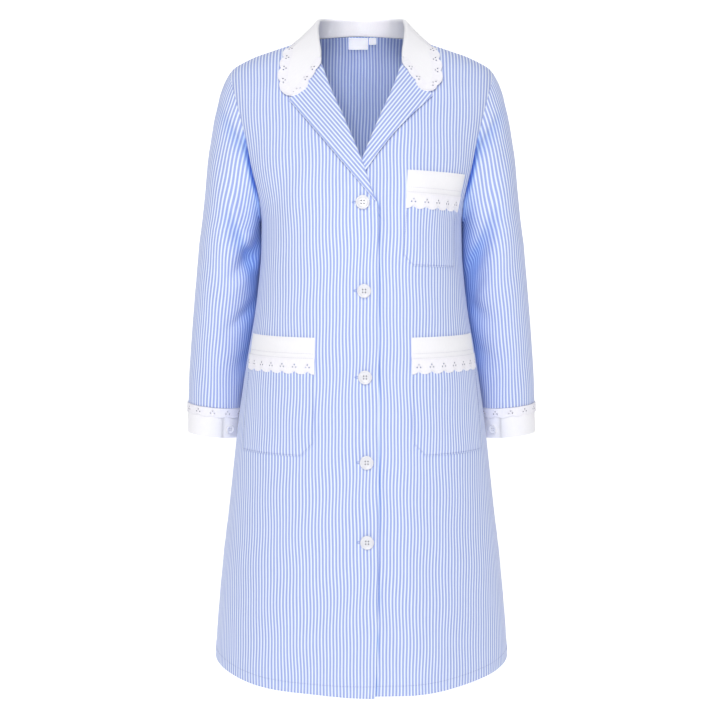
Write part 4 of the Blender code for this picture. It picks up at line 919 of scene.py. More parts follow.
def lapelShell(side, name):
    shape = lapels[side]
    endX = float(look(innerEdge, "x", lapelCut["rollEnd"]))
    f = np.linspace(0, shape["length"], lapelCut["rows"] + 1)[:, None]
    height = mix(lapelCut["rollTop"], lapelCut["rollEnd"], f)
    rollX = look(innerEdge, "x", height)
    bow = shape["bow"] * np.sin(math.pi * f)
    edgeX = mix(shape["tip"][0], endX, f) - bow * lapelCut["bowAcross"]
    edgeZ = mix(shape["tip"][1], lapelCut["rollEnd"], f) + bow * lapelCut["bowUp"]
    s = np.linspace(0, 1, lapelCut["columns"] + 1)
    laid = frontAt(side, mix(rollX, edgeX, s), mix(height, edgeZ, s))
    normals = gridNormals(laid)
    rise = lapelCut["liftAtCollar"] + lapelCut["liftAtMiddle"] * np.sin(math.pi * f)
    lift = lapelCut["layGap"] + rise * (1 - f ** 3) * s
    over = laid + normals * (lift + lapelCut["thickness"])[..., None]
    # the fold: half a turn round the front's own edge, from a strip that lies behind it
    n, e = normals[:, :1], unit(laid[:, :1] - laid[:, 1:2])
    high = lapelCut["layGap"] + lapelCut["thickness"]
    radius = (high + cut["foldThickness"] + lapelCut["foldRoom"]) / 2
    turn = np.linspace(-math.pi / 2, math.pi / 2, lapelCut["foldSteps"] + 1)[None, :-1, None]
    fold = (laid[:, :1] + e * radius * np.cos(turn) * lapelCut["foldFlat"]
            + n * (high - radius + radius * np.sin(turn)))
    outer = np.concatenate((fold, over), axis=1)
    inner = outer - gridNormals(outer) * lapelCut["thickness"]
    # stripes run along the lapel's outer edge, which is cut on the straight grain
    tip, end = np.array(shape["tip"]), np.array((endX, lapelCut["rollEnd"]))
    grain = unit(end - tip)
    flatPoints = outer[..., (0, 2)] - tip
    across = flatPoints[..., 0] * grain[1] - flatPoints[..., 1] * grain[0]
    along = flatPoints @ grain
    uv = np.stack((across * lapelCut["stripeSpread"], along), -1)
    piece = shell(name, outer, inner, uv, stripedPoplin, mirror=side < 0)
    return piece, areaOf(outer)


for side, name in bothSides:
    piece, area = lapelShell(side, "lapel_%s_cloth" % name)
    declare(piece, ["lapel_" + name], (0.1, 0.2), area)
print("lapels made")


# Patch pockets: side, inner edge at the top and bottom, heights of the top and bottom,
# width along the cloth, white band, drop of the lace and cut-off corner

pockets = {
    "pocket_chest": (1, 0.0634, 0.0552, -0.1925, -0.3235, 0.098, 0.032, 0.0205, 0.015),
    "pocket_right": (-1, 0.0644, 0.0669, -0.424, -0.5895, 0.13, 0.031, 0.0205, 0.018),
    "pocket_left": (1, 0.0687, 0.0711, -0.424, -0.5895, 0.13, 0.031, 0.0205, 0.018),
}
patch = {"tilt": 0.045,     # the chest pocket's outer end hangs lower
         "underBand": 4 * mm, "bandSwell": 1.1 * mm, "cell": 2.6 * mm, "layGap": 0.3 * mm,
         "puff": 0.9 * mm, "puffReach": 9 * mm,
         "thickness": 0.9 * mm, "bandThickness": 1.3 * mm, "stitchInset": 1.8 * mm}


def pocketPoints(pocket, heights, distance):
    # points of the front at each height, at a distance along the cloth from the inner edge
    side, topX, bottomX, top, bottom = pocket[:5]
    tilt = patch["tilt"] if top > -0.3 else 0.0
    x = np.empty(distance.shape)
    for r, height in enumerate(heights):
        ends = mix(topX, bottomX, (top - height) / (top - bottom)), look(body, "halfWidth", height)
        xs = mix(*ends, np.sin(math.pi / 2 * np.linspace(0, 1, 400)))
        line = np.stack((xs, frontY(side, xs, height)), 1)
        x[r] = np.interp(distance[r], lengthAlong(line), xs)
    return frontAt(side, x, heights[:, None] - tilt * distance)


def patchShell(name, pocket, heights, distance, lift, thickness, material):
    side = pocket[0]
    laid = pocketPoints(pocket, heights, distance)
    normals = gridNormals(laid)
    outer, inner = [laid + normals * (lift + more)[..., None] for more in (thickness, 0.0)]
    centre = clothAcross(partial(frontY, side), laid[:, :1, 0], laid[:, :1, 2])
    uv = np.stack((side * (centre + distance - distance[:, :1]), laid[..., 2] - cut["hem"]), -1)
    uv[..., 0] = drifted(uv[..., 0], uv[..., 1])
    return shell(name, outer, inner, uv, material, mirror=side < 0), areaOf(outer)


def puffed(fromEdge):
    return patch["layGap"] + patch["puff"] * ease(fromEdge / patch["puffReach"])


def makePocket(name, pocket):
    side, _, _, top, bottom, width, band, _, corner = pocket
    seam = top - band
    share = np.linspace(0, 1, round(width / patch["cell"]) + 1)[None, :]
    heights = np.linspace(seam + patch["underBand"], bottom,
                          round((seam - bottom) / patch["cell"]) + 1)
    above = (heights - bottom)[:, None]
    start = np.maximum(corner - above, 0.0)
    distance = mix(start, width, share)
    edge = np.minimum(np.minimum(distance - start, width - distance), above)
    edge = np.minimum(edge, np.where(start > 0, (distance + above - corner) * 0.7, 1.0))
    piece, area = patchShell(name + "_cloth", pocket, heights, distance, puffed(edge),
                             patch["thickness"], stripedPoplin)
    declare(piece, [name], (width, seam - bottom + patch["underBand"]), area)
    heights = np.linspace(top, seam, round(band / patch["cell"]) + 1)
    distance = np.repeat(width * share, len(heights), axis=0)
    edge = np.minimum(np.minimum(distance, width - distance), (top - heights)[:, None] + 3 * mm)
    swell = ease((heights - seam)[:, None] / (-6 * mm) + 1) * patch["bandSwell"]
    piece, area = patchShell(name + "_band_cloth", pocket, heights, distance,
                             puffed(edge) + swell, patch["bandThickness"], whitePoplin)
    declare(piece, [name + "_band"], (width, band), area)


# Broderie anglaise: a strip with a scalloped, oversewn edge and eyelets in threes

lace = {"depth": 4.2 * mm, "eyelet": 1.0 * mm, "rim": 1.45 * mm, "rimEnd": 2.0 * mm,
        "rimHeight": 0.5 * mm, "border": 1.5 * mm, "borderHeight": 0.45 * mm,
        "thickness": 0.8 * mm, "cell": 2.6 * mm, "stepsPerScallop": 14, "eyeletSides": 12,
        "endClear": 2.5 * mm, "eyeletClear": 2 * mm, "pointClear": 0.3 * mm}


def varying(measure):
    # a measure of the strip that may vary along it
    return measure if callable(measure) else lambda at: np.full(np.shape(at), measure)


def laceStrip(name, length, width, pitch, shift, depth, trefoil, place, mirror=False):
    # s runs along the strip and t from its sewn edge to its scallops; width is to the cusps
    count = max(int(length / pitch * lace["stepsPerScallop"]), 8)
    s = np.linspace(0, length, count + 1)
    widthAt = varying(width)
    scallop = np.abs(np.sin(math.pi * (s + shift) / pitch)) ** 0.8
    rimT = widthAt(s) + varying(depth)(s + shift) * scallop
    outline = [(a, 0.0) for a in s] + [(a, b) for a, b in zip(s[::-1], rimT[::-1])]
    centres = []
    clear = lace["eyeletClear"]
    cusp = -shift + pitch * math.ceil((shift + lace["endClear"]) / pitch)
    while cusp < length - lace["endClear"]:
        for ds, up in trefoil:
            t = float(widthAt(cusp)) - up
            if t > clear and clear < cusp + ds < length - clear:
                centres.append((cusp + ds, t))
        cusp += pitch
    centres = np.array(centres)
    # round a curve the strip is stretched, so eyelets are drawn narrower along it there
    ends = [place(centres[:, 0] + d, centres[:, 1])[0] for d in (-0.5 * mm, 0.5 * mm)]
    stretch = np.maximum(np.linalg.norm(ends[1] - ends[0], axis=1) / mm, 0.8)

    def fromEyelet(at):
        return np.hypot((at[:, None, 0] - centres[:, 0]) * stretch,
                        at[:, None, 1] - centres[:, 1]).min(axis=1)

    points = list(outline)
    edges = [(i, (i + 1) % len(outline)) for i in range(len(outline))]
    sides = lace["eyeletSides"]
    turn = anglesOf(sides)
    for (a, b), wider in zip(centres, stretch):
        for radius in (lace["eyelet"], lace["rim"], lace["rimEnd"]):
            first = len(points)
            points += [(a + radius * math.cos(k) / wider, b + radius * math.sin(k))
                       for k in turn]
            if radius == lace["eyelet"]:
                edges += [(first + k, first + (k + 1) % sides) for k in range(sides)]
    rise = np.gradient(rimT, s)
    nx, nt = rise / np.hypot(rise, 1), -1 / np.hypot(rise, 1)
    extra = [(a + x * inset, b + t * inset) for inset in (0.5 * lace["border"], lace["border"])
             for a, b, x, t in zip(s[1:-1], rimT[1:-1], nx[1:-1], nt[1:-1])]
    extra += [(a, b) for a in np.arange(lace["cell"] / 2, length, lace["cell"])
              for b in np.arange(lace["cell"], float(np.max(widthAt(s))), lace["cell"])
              if b < float(widthAt(a)) - 0.5 * mm]
    extra = np.array(extra)
    a, b = extra.T
    inside = ((a > 0) & (a < length) & (b > 0) & (b < np.interp(a, s, rimT) - lace["pointClear"])
              & (fromEyelet(extra) > lace["rimEnd"] + lace["pointClear"]))
    points += [tuple(p) for p in extra[inside]]
    result = delaunay_2d_cdt([Vector(p) for p in points], edges, [list(range(len(outline)))], 1,
                             1e-6)
    flat = np.array([tuple(p) for p in result[0]])
    faces = np.array([f for f in result[2] if len(f) == 3])
    middle = flat[faces].mean(axis=1)
    keep = ((middle[:, 1] < np.interp(middle[:, 0], s, rimT) + 1e-6)
            & (fromEyelet(middle) > lace["eyelet"] * 0.98))
    faces = faces[keep]
    used, faces = np.unique(faces, return_inverse=True)
    faces = faces.reshape(-1, 3)
    flat = flat[used]
    base, normals = place(flat[:, 0], flat[:, 1])
    fromRim = np.interp(flat[:, 0], s, rimT) - flat[:, 1]
    raised = lace["borderHeight"] * np.sin(math.pi * np.clip(fromRim / lace["border"], 0, 1))
    away = fromEyelet(flat)
    ringShare = np.clip((away - lace["eyelet"]) / (lace["rimEnd"] - lace["eyelet"]), 0, 1)
    raised = np.maximum(raised, lace["rimHeight"] * np.sin(math.pi * (0.25 + 0.75 * ringShare))
                        * (away < lace["rimEnd"]))
    top = base + normals * (lace["thickness"] + raised)[:, None]
    count = len(flat)
    allPoints = np.concatenate((top, base))
    if mirror:
        allPoints = allPoints * (-1, 1, 1)
    pairs = np.concatenate((faces[:, (0, 1)], faces[:, (1, 2)], faces[:, (2, 0)]))
    _, index, seen = np.unique(np.sort(pairs, axis=1), axis=0, return_index=True,
                               return_counts=True)
    rim = pairs[index[seen == 1]]
    walls = np.concatenate((np.stack((rim[:, 1], rim[:, 0], rim[:, 0] + count), 1),
                            np.stack((rim[:, 1], rim[:, 0] + count, rim[:, 1] + count), 1)))
    allFaces = np.concatenate((faces, faces[:, ::-1] + count, walls))
    uv = np.concatenate((flat, flat))[allFaces]
    tips = base[faces]
    area = float(np.linalg.norm(np.cross(tips[:, 1] - tips[:, 0], tips[:, 2] - tips[:, 0]),
                                axis=1).sum() / 2)
    piece = buildMesh(name, allPoints, allFaces, uv, broderieAnglaise)
    # the oversewn walls of the eyelets are coloured darker than the face, a painted shade
    piece.data.materials.append(eyeletThreadShade)
    walled = 2 * len(faces) + np.flatnonzero(np.tile(away[rim[:, 0]] < lace["eyelet"] * 1.1, 2))
    for index in walled:
        piece.data.polygons[int(index)].material_index = 1
    return piece, area


def stripPlacer(line, wayOut, facing):
    # turns strip coordinates into points by a base line, the way out and the way it faces
    travelled = lengthAlong(line)

    def place(s, t):
        at, out, up = [sampled(field, travelled, s) for field in (line, wayOut, facing)]
        return at + unit(out) * t[:, None], unit(up)

    return place, travelled[-1]


def trefoilOf(top, aside, low):
    # one eyelet above two, as places along the strip and heights above the scallop's cusp
    return (0.0, top), (-aside, low), (aside, low)


pocketLace = {"pitch": 19.5 * mm, "trefoil": trefoilOf(9.1 * mm, 2.7 * mm, 5.6 * mm),
              "under": 2 * mm, "lift": 2.4 * mm, "wave": 0.5 * mm, "tableSize": (60, 120)}
for name, pocket in pockets.items():
    makePocket(name, pocket)
    side, _, _, top, _, width, band, laceDrop, _ = pocket
    seam = top - band
    tall, wide = pocketLace["tableSize"]
    order = np.linspace(seam + 3 * mm, seam - 0.03, tall)
    table = pocketPoints(pocket, order, np.repeat(np.linspace(0, width, wide)[None, :], tall,
                                                  axis=0))
    tableNormals = gridNormals(table)

    def placeOnPocket(s, t):
        fall = (order[0] - (seam + pocketLace["under"] - t)) / (order[0] - order[-1])
        row = np.clip(fall * (tall - 1), 0, tall - 1.001)
        column = np.clip(s / width * (wide - 1), 0, wide - 1.001)
        r, c = row.astype(int), column.astype(int)
        a, b = (row - r)[:, None], (column - c)[:, None]
        point, normal = [mix(mix(field[r, c], field[r, c + 1], b),
                             mix(field[r + 1, c], field[r + 1, c + 1], b), a)
                         for field in (table, tableNormals)]
        normal = unit(normal)
        wave = np.sin(2 * math.pi * s / pocketLace["pitch"]) * ease(t / 0.018)
        return point + normal * (pocketLace["lift"] + pocketLace["wave"] * wave)[:, None], normal

    drop = laceDrop + pocketLace["under"]
    piece, area = laceStrip(name + "_lace_cloth", width, drop - lace["depth"],
                            pocketLace["pitch"], pocketLace["pitch"] / 2, lace["depth"],
                            pocketLace["trefoil"], placeOnPocket, mirror=side < 0)
    declare(piece, [name + "_lace"], (width, drop), area)
print("pockets made")

# Lace round the collar, from one end of the roll round to the other

start = sum(collar["steps"][:2])
route = np.concatenate((collarFine[0, start:-1], collarFine[1:-1, -1],
                        collarFine[-1, -2:start - 1:-1]))
routeFacing = np.concatenate((fineNormals[0, start:-1], fineNormals[1:-1, -1],
                              fineNormals[-1, -2:start - 1:-1]))
route = evenly(np.concatenate((route, routeFacing), axis=1)[None], 400)[0]
line, facing = route[:, :3], unit(route[:, 3:])
for _ in range(60):      # rounds the two corners, where the lace is eased round in a curve
    line[1:-1] = (line[:-2] + line[1:-1] * 2 + line[2:]) / 4
along = unit(np.gradient(line, axis=0))
wayOut = unit(np.cross(along, facing))
if wayOut[len(wayOut) // 2, 2] > 0:
    wayOut = -wayOut
for _ in range(6):
    wayOut[1:-1] = unit(wayOut[:-2] + wayOut[1:-1] * 2 + wayOut[2:])
base = line - wayOut * collar["laceLap"] - facing * 0.4 * mm
place, laceLength = stripPlacer(base, wayOut, facing)


def collarLaceDepth(s):
    fromEnd = np.minimum(s, laceLength - s)
    return mix(1.6 * mm, 3.4 * mm, ease((fromEnd - 0.03) / 0.02))


def collarLaceWidth(s):
    fromEnd = np.minimum(s, laceLength - s)
    wide = mix(collar["notchLace"], collar["lace"], ease((fromEnd - 0.035) / 0.02))
    wide = wide * (0.75 + 0.25 * ease(fromEnd / 0.008))
    return collar["laceLap"] + wide - collarLaceDepth(s)


piece, area = laceStrip("collar_lace_cloth", laceLength, collarLaceWidth,
                        laceLength / collar["scallops"], 0.0, collarLaceDepth,
                        trefoilOf(7.4 * mm, 2.5 * mm, 4.2 * mm), place)
declare(piece, ["collar_lace"], (0.6, 0.016), area)
print("collar lace made")


# Cuffs: a band whose end laps over itself on the inner side, with lace sewn in at the top

cuff = {"columns": 150, "rows": 12, "thickness": 1.6 * mm, "grow": 0.5 * mm, "lap": 0.16,
        "lapStart": 0.64, "pastLap": 0.02, "lapDepth": 1.9 * mm, "endDepth": 1.1 * mm,
        "laceDrop": 17 * mm, "laceShare": 0.6, "scallops": 12,
        "buttonTurn": 0.71, "buttonRise": 0.014, "buttonSize": 13.5 * mm}


def makeCuff(side, name):
    rise = sleeve["cuffTop"] - cut["seamGap"]
    # the band starts under the lap, runs once round the wrist and ends on top of itself
    halfTurns = np.linspace(cuff["lapStart"] - cuff["lap"],
                            cuff["lapStart"] + 2 + cuff["pastLap"], cuff["columns"] + 1)
    turn, past = math.pi * halfTurns, halfTurns - cuff["lapStart"]
    under = ease((past + cuff["lap"]) / cuff["lap"] * 0.9)
    grow = (cuff["grow"] - (1 - under) * cuff["lapDepth"]
            - cuff["endDepth"] * ease((past - 1.97) / 0.05))
    share = np.linspace(0, 1, cuff["rows"] + 1)[:, None]
    heights = mix(rise, sleeve["cuffBottom"], share)
    outer = armPoint(side, turn, heights, grow)
    inner = armPoint(side, turn, heights, grow - cuff["thickness"])
    uv = np.stack(np.broadcast_arrays(turn * 0.045, heights), -1)
    piece = shell("cuff_%s_cloth" % name, outer, inner, uv, whitePoplin, mirror=side < 0)
    return piece, areaOf(outer)


for side, name in bothSides:
    piece, area = makeCuff(side, name)
    declare(piece, ["cuff_" + name], (0.31, 0.046), area)

    def placeOnCuff(s, t):
        turn = 2 * math.pi * s / cuffLength + math.pi
        height = sleeve["cuffTop"] - 0.1 * mm - t
        here, ahead, below = [armPoint(side, turn + more, height - lower, cuff["grow"])
                              for more, lower in ((0, 0), (0.01, 0), (0, mm))]
        normal = unit(np.cross(ahead - here, below - here))
        centre = np.stack((look(arm, "x", height), look(arm, "y", height), height), -1)
        normal[np.einsum("ij,ij->i", normal, here - centre) < 0] *= -1
        return armPoint(side, turn, height, cuff["grow"] + 0.5 * mm), normal

    loop = armPoint(side, np.linspace(0, 2 * math.pi, 200), sleeve["cuffTop"], cuff["grow"])
    cuffLength = float(lengthAlong(loop)[-1])
    depth = lace["depth"] * cuff["laceShare"]
    piece, area = laceStrip("cuff_lace_%s_cloth" % name, cuffLength,
                            cuff["laceDrop"] - 2.5 * mm - depth, cuffLength / cuff["scallops"],
                            0.0, depth, trefoilOf(7.6 * mm, 2.9 * mm, 4.2 * mm), placeOnCuff,
                            mirror=side < 0)
    declare(piece, ["cuff_lace_" + name], (cuffLength, cuff["laceDrop"]), area)
print("cuffs made")


# Buttons: turned discs with a raised rim, a dished face and four holes

buttons = {
    "places": [(0.0014, -0.2369), (0.0034, -0.3582), (0.0048, -0.4785), (0.0069, -0.5964),
               (0.0076, -0.7074)],
    "size": 19.5 * mm, "height": 3.0 * mm, "gap": 0.7 * mm,
    "hole": 2.0 * mm, "holeSpread": 1.9 * mm,
    "profile": [(0.0, 0.0), (0.7, 0.0), (0.9, 0.14), (0.985, 0.38), (1.0, 0.58), (0.975, 0.8),
                (0.92, 0.95), (0.86, 1.0), (0.79, 0.96), (0.73, 0.84), (0.68, 0.74), (0.6, 0.68),
                (0.3, 0.64), (0.0, 0.62)],
    "thread": [(0.0, 0.05), (1.0, 0.05), (1.0, 0.46), (0.6, 0.52), (0.0, 0.52)],
    "sides": 56, "drillSides": 20, "threadSides": 12, "threadShare": 0.88, "sharpAngle": 42,
}


def turnedMesh(name, profile, radius, height, sides, material):
    turn = anglesOf(sides)
    rings = [np.stack((radius * a * np.cos(turn), radius * a * np.sin(turn),
                       np.full(sides, height * b)), -1) for a, b in profile[1:-1]]
    points = np.concatenate(rings + [[(0, 0, height * profile[0][1])],
                                     [(0, 0, height * profile[-1][1])]])
    bottom, top = len(points) - 2, len(points) - 1
    mesh = bpy.data.meshes.new(name)
    faces = []
    for k in range(sides):
        ahead = (k + 1) % sides
        faces.append((bottom, ahead, k))
        faces.append((top, (len(rings) - 1) * sides + k, (len(rings) - 1) * sides + ahead))
        for ring in range(len(rings) - 1):
            low, high = ring * sides, (ring + 1) * sides
            faces.append((low + k, low + ahead, high + ahead, high + k))
    mesh.from_pydata([tuple(p) for p in points], [], faces)
    mesh.update()
    mesh.materials.append(material)
    return mesh


def addThreads(mesh):
    # grey sewing thread fills the holes to just under the dished face
    mesh.materials.append(holeThread)
    reach = buttons["holeSpread"]
    thread = turnedMesh("thread", buttons["thread"], buttons["hole"] / 2
                        * buttons["threadShare"], buttons["height"], buttons["threadSides"],
                        holeThread)
    both = bmesh.new()
    both.from_mesh(mesh)
    count = len(both.faces)
    for a in (-reach, reach):
        for b in (-reach, reach):
            filling = thread.copy()
            filling.transform(Matrix.Translation((a, b, 0)))
            both.from_mesh(filling)
            bpy.data.meshes.remove(filling)
    both.faces.ensure_lookup_table()
    for face in both.faces[count:]:
        face.material_index = 1
    both.to_mesh(mesh)
    both.free()
    bpy.data.meshes.remove(thread)


def buttonMesh():
    mesh = turnedMesh("button", buttons["profile"], buttons["size"] / 2, buttons["height"],
                      buttons["sides"], buttonPlastic)
    blank = addThing("button_blank", mesh)
    reach = buttons["holeSpread"] * math.sqrt(2)
    tools = []
    for k in range(4):
        turn = math.pi / 4 + math.pi / 2 * k
        drill = addThing("drill", turnedMesh("drill", [(0, 0), (1, 0), (1, 1), (0, 1)],
                                             buttons["hole"] / 2, 4 * buttons["height"],
                                             buttons["drillSides"], buttonPlastic))
        drill.location = (reach * math.cos(turn), reach * math.sin(turn), -buttons["height"])
        boring = blank.modifiers.new("hole", "BOOLEAN")
        boring.object = drill
        boring.solver = "EXACT"
        tools.append(drill)
    bpy.context.view_layer.update()
    evaluated = blank.evaluated_get(bpy.context.evaluated_depsgraph_get())
    drilled = bpy.data.meshes.new_from_object(evaluated)
    for thing in tools + [blank]:
        bpy.data.objects.remove(thing)
    addThreads(drilled)
    drilled.shade_smooth()
    drilled.set_sharp_from_angle(angle=math.radians(buttons["sharpAngle"]))
    return drilled


def seat(name, mesh, point, facing, scale=1.0):
    thing = addThing(name, mesh.copy())
    turn = Vector(facing).to_track_quat("Z", "Y").to_matrix().to_4x4()
    thing.data.transform(Matrix.Translation(Vector(point)) @ turn @ Matrix.Scale(scale, 4))
    return thing


drilledButton = buttonMesh()
for number, (x, height) in enumerate(buttons["places"], start=1):
    probe = frontAt(-1, [[-x, -x + mm]] * 2, [[height], [height - mm]])
    facing = gridNormals(probe)[0, 0] * (-1, 1, 1)
    point = probe[0, 0] * (-1, 1, 1) + facing * buttons["gap"]
    piece = seat("button_%d_disc" % number, drilledButton, point, facing)
    declare(piece, ["button_%d" % number])
for side, name in bothSides:
    turn, height = math.pi * cuff["buttonTurn"], sleeve["cuffBottom"] + cuff["buttonRise"]
    probe = armPoint(side, [turn - 0.05, turn + 0.05], [[height + mm], [height - mm]],
                     cuff["grow"])
    facing = unit(np.cross(probe[0, 1] - probe[0, 0], probe[1, 0] - probe[0, 0]))
    if facing[1] > 0:
        facing = -facing
    point = (probe.mean(axis=(0, 1)) + facing * 1.0 * mm) * (side, 1, 1)
    piece = seat("cuff_button_%s_disc" % name, drilledButton, point, facing * (side, 1, 1),
                 cuff["buttonSize"] / buttons["size"])
    piece.data.materials[0] = cuffPlastic
    declare(piece, ["cuff_button_" + name])
print("buttons made")


# Sewing: short thread dashes laid along a line

def stitchMesh(name, lines, material, length=2.2 * mm, gap=0.9 * mm, radius=0.22 * mm):
    # a stitch is three rings, at a place along it and with a size, and two ends
    rings = [(-0.42, 0.75), (0.0, 1.0), (0.42, 0.75)]
    sides = 6
    points, faces = [], []
    turn = anglesOf(sides)
    for line, facing in lines:
        travelled = lengthAlong(line)
        for at in np.arange(length, travelled[-1] - length / 2, length + gap):
            here, ahead = [sampled(line, travelled, at + d) for d in (-0.4 * length, 0.4 * length)]
            up = unit(sampled(facing, travelled, at))
            along = unit(ahead - here)
            middle = (here + ahead) / 2 + up * radius * 0.5
            sideways = np.cross(along, up)
            first = len(points)
            points += [middle + along * place * length
                       + (sideways * math.cos(k) + up * math.sin(k)) * radius * size
                       for place, size in rings for k in turn]
            points += [middle - along * length / 2, middle + along * length / 2]
            tail, tip = len(points) - 2, len(points) - 1
            last = tail - sides
            for k in range(sides):
                n = (k + 1) % sides
                faces += [(tail, first + n, first + k), (tip, last + k, last + n)]
                for a, b in ((first + k, first + n), (first + sides + k, first + sides + n)):
                    faces += [(a, b, b + sides), (a, b + sides, a + sides)]
    return buildMesh(name, np.array(points), np.array(faces), np.zeros((len(faces), 3, 2)),
                     material)


def stitchLine(side, pocket, distances, heights, lift):
    points, normals = [], []
    for d, h in zip(distances, heights):
        near = pocketPoints(pocket, np.array([h + mm, h - mm]), np.array([[d, d + mm]] * 2))
        normals.append(gridNormals(near)[0, 0])
        points.append(near[:, 0].mean(axis=0))
    normals = np.array(normals)
    return (np.array(points) + normals * lift) * (side, 1, 1), normals * (side, 1, 1)


bandRows = [(2.0 * mm, 1.0 * mm), (8.5 * mm, 0.2 * mm)]     # height above the seam, and lift
for name, pocket in pockets.items():
    side, _, _, top, bottom, width, band, laceDrop, corner = pocket
    inset = patch["stitchInset"]
    low, seam = bottom + inset, top - band
    under = seam - laceDrop - 2 * mm
    cutEnd = corner + inset * 0.4
    path = [(inset, under), (inset, bottom + cutEnd), (cutEnd, low), (width - inset, low),
            (width - inset, under)]
    distances, heights = [np.concatenate([np.linspace(a[k], b[k], 14)
                                          for a, b in zip(path, path[1:])]) for k in (0, 1)]
    lift = patch["layGap"] + patch["thickness"] + 0.25 * mm
    piece = stitchMesh(name + "_stitching", [stitchLine(side, pocket, distances, heights, lift)],
                       blueThread)
    declare(piece, [])
    lift = patch["layGap"] + patch["puff"] + patch["bandThickness"]
    rows = [stitchLine(side, pocket, np.linspace(mm, width - mm, 60),
                       np.full(60, seam + above), lift + more) for above, more in bandRows]
    piece = stitchMesh(name + "_band_stitching", rows, whiteThread)
    declare(piece, [])


def gridLine(grid, normals, above):
    # a line across a panel at a distance above its hem
    height = grid[..., 2] - hemHeight(grid[..., 0])
    line = []
    for c in range(grid.shape[1]):
        order = np.argsort(height[:, c])
        column = np.concatenate((grid[order, c], normals[order, c]), axis=1)
        line.append(sampled(column, height[order, c], above))
    line = np.array(line)
    return line[:, :3], line[:, 3:]


hemLines = []
for side in (-1, 1):
    line, facing = gridLine(fronts[side]["grid"], fronts[side]["normals"], cut["hemDepth"])
    hemLines.append((line * (side, 1, 1), facing * (side, 1, 1)))
hemLines.append(gridLine(backPanel, unit(backNormals), cut["hemDepth"]))
piece = stitchMesh("hem_stitching", hemLines, blueThread, 2.6 * mm, 1.0 * mm, 0.18 * mm)
declare(piece, [])
print("stitching made")


# Buttonholes: oversewn slots under the buttons, their ends just showing beside them

buttonhole = {"length": 23 * mm, "width": 2.4 * mm, "thread": 0.42 * mm, "aside": 2.7 * mm,
              "steps": 44, "ring": 8}


def buttonholeMesh(name, places):
    thread, steps, ring = [buttonhole[key] for key in ("thread", "steps", "ring")]
    points, faces = [], []
    for x, height in places:
        turn = anglesOf(steps)
        squared = np.sign(np.cos(turn)) * np.abs(np.cos(turn)) ** 0.25
        xs = x - buttonhole["aside"] + squared * buttonhole["length"] / 2
        zs = height + np.sin(turn) * buttonhole["width"] / 2
        path = frontAt(-1, -xs, zs) * (-1, 1, 1)
        along = unit(np.roll(path, -1, axis=0) - np.roll(path, 1, axis=0))
        up = np.array((0.0, -1.0, 0.0))
        sideways = unit(np.cross(along, up))
        first = len(points)
        for k in range(steps):
            bulge = thread * (1.0 + 0.15 * (k % 2))
            ahead = first + (k + 1) % steps * ring
            for j, angle in enumerate(anglesOf(ring)):
                points.append(path[k] + up * (0.1 * mm + 0.5 * bulge * math.sin(angle))
                              + sideways[k] * bulge * 1.3 * math.cos(angle))
                a, n = first + k * ring, (j + 1) % ring
                faces.append((a + j, ahead + j, ahead + n, a + n))
    return buildMesh(name, np.array(points), np.array(faces), np.zeros((len(faces), 4, 2)),
                     paleThread)


piece = buttonholeMesh("buttonholes", buttons["places"])
declare(piece, [])


# Labels: blank woven tape sewn in at the back of the neck

labels = {      # left end, width, top and drop
    "neck_label": (-0.0195, 0.029, 0.012, 0.016), "size_tab": (0.0112, 0.0108, 0.012, 0.0092)}
for name, (left, width, top, drop) in labels.items():
    s = np.linspace(0, 1, 25)
    t = np.linspace(0, 1, 17)[:, None]
    x, z = np.broadcast_arrays(left + width * s, top - drop * t)
    # the lower edge stands a little off the cloth and its corners curl
    lift = cut["thickness"] + 0.9 * mm + 1.0 * mm * t ** 2 + 0.6 * mm * t * (2 * s - 1) ** 4
    laid = np.stack((x, bodyY(x, z, 1) - lift, z), -1)
    normals = gridNormals(laid)
    uv = np.stack((x - left, z), -1)
    piece = shell(name + "_tape", laid + normals * 0.5 * mm, laid, uv, labelTape)
    declare(piece, [name], (width, drop + 3 * mm), areaOf(laid))
print("labels made")


# Studio: a pale sweep far below the hem, soft light from the front and above

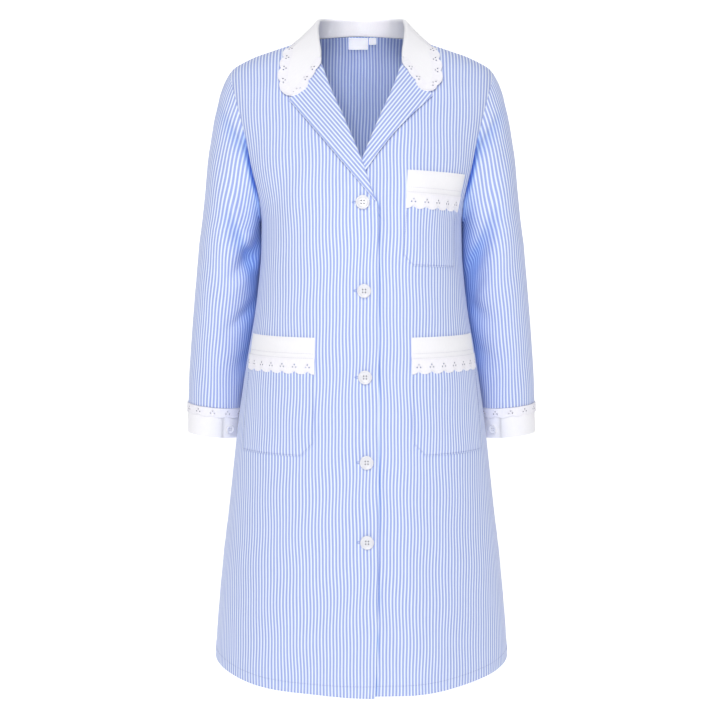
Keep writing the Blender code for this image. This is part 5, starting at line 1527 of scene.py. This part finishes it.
studio = {
    "floorHeight": -1.3, "wall": 2.6, "front": -1.8, "halfWidth": 6.0, "rise": 5.0,
    "radius": 1.2, "paperGlow": 0.48, "worldStrength": 0.35,
}
lights = {      # power, place, size, what it points at and spread in degrees
    "key": (44.5, (-0.4, -2.8, 1.9), 1.2, (0, 0, -0.45), 180),
    "fill": (12.2, (0.6, -3.2, 0.1), 2.4, (0, 0, -0.5), 180),
    "collar": (5.4, (-0.1, -1.5, 0.08), 0.5, (0, 0, -0.02), 180),
    "neck": (0.01, (0, -0.42, 0.42), 0.06, (0, 0.066, 0.026), 9),      # a narrow beam
}


def makeSweep():
    profile = [(studio["front"], studio["floorHeight"])]
    for k in range(13):
        turn = math.pi / 2 * k / 12
        profile.append((studio["wall"] - studio["radius"] + studio["radius"] * math.sin(turn),
                        studio["floorHeight"] + studio["radius"] * (1 - math.cos(turn))))
    profile.append((studio["wall"], studio["rise"]))
    points = [(sign * studio["halfWidth"], y, z) for y, z in profile for sign in (-1, 1)]
    faces = [(2 * k, 2 * k + 1, 2 * k + 3, 2 * k + 2) for k in range(len(profile) - 1)]
    mesh = bpy.data.meshes.new("paper_sweep")
    mesh.from_pydata(points, [], faces)
    mesh.shade_smooth()
    # matt background paper, with faint fibres, lit from behind
    paper = makeSolid("matt background paper", "#fdfdfd", "#f9f9fb", 0.95, 1.45, 400.0, 2.0)
    shader = paper.node_tree.nodes["Principled BSDF"]
    shader.inputs["Emission Strength"].default_value = studio["paperGlow"]
    mesh.materials.append(paper)
    addThing("paper_sweep", mesh)


makeSweep()
for name, (power, place, size, target, spread) in lights.items():
    light = bpy.data.lights.new(name, "AREA")
    light.energy, light.size, light.spread = power, size, math.radians(spread)
    lamp = addThing(name, light)
    lamp.location = place
    lamp.rotation_euler = (Vector(target) - Vector(place)).to_track_quat("-Z", "Y").to_euler()
world = bpy.data.worlds.new("studio")
world.use_nodes = True
background = world.node_tree.nodes["Background"]
background.inputs["Color"].default_value = (1, 1, 1, 1)
background.inputs["Strength"].default_value = studio["worldStrength"]
bpy.context.scene.world = world
bpy.context.scene.view_settings.view_transform = "Standard"

lens = {"place": (-0.0022, -2.1, -0.275), "pitch": 5.23, "focal": 70.95, "sensor": 36.0}
view = bpy.data.cameras.new("camera")
view.lens, view.sensor_width = lens["focal"], lens["sensor"]
camera = addThing("camera", view)
camera.location = lens["place"]
camera.rotation_euler = (math.radians(90 - lens["pitch"]), 0, 0)
bpy.context.scene.camera = camera
print("studio made")
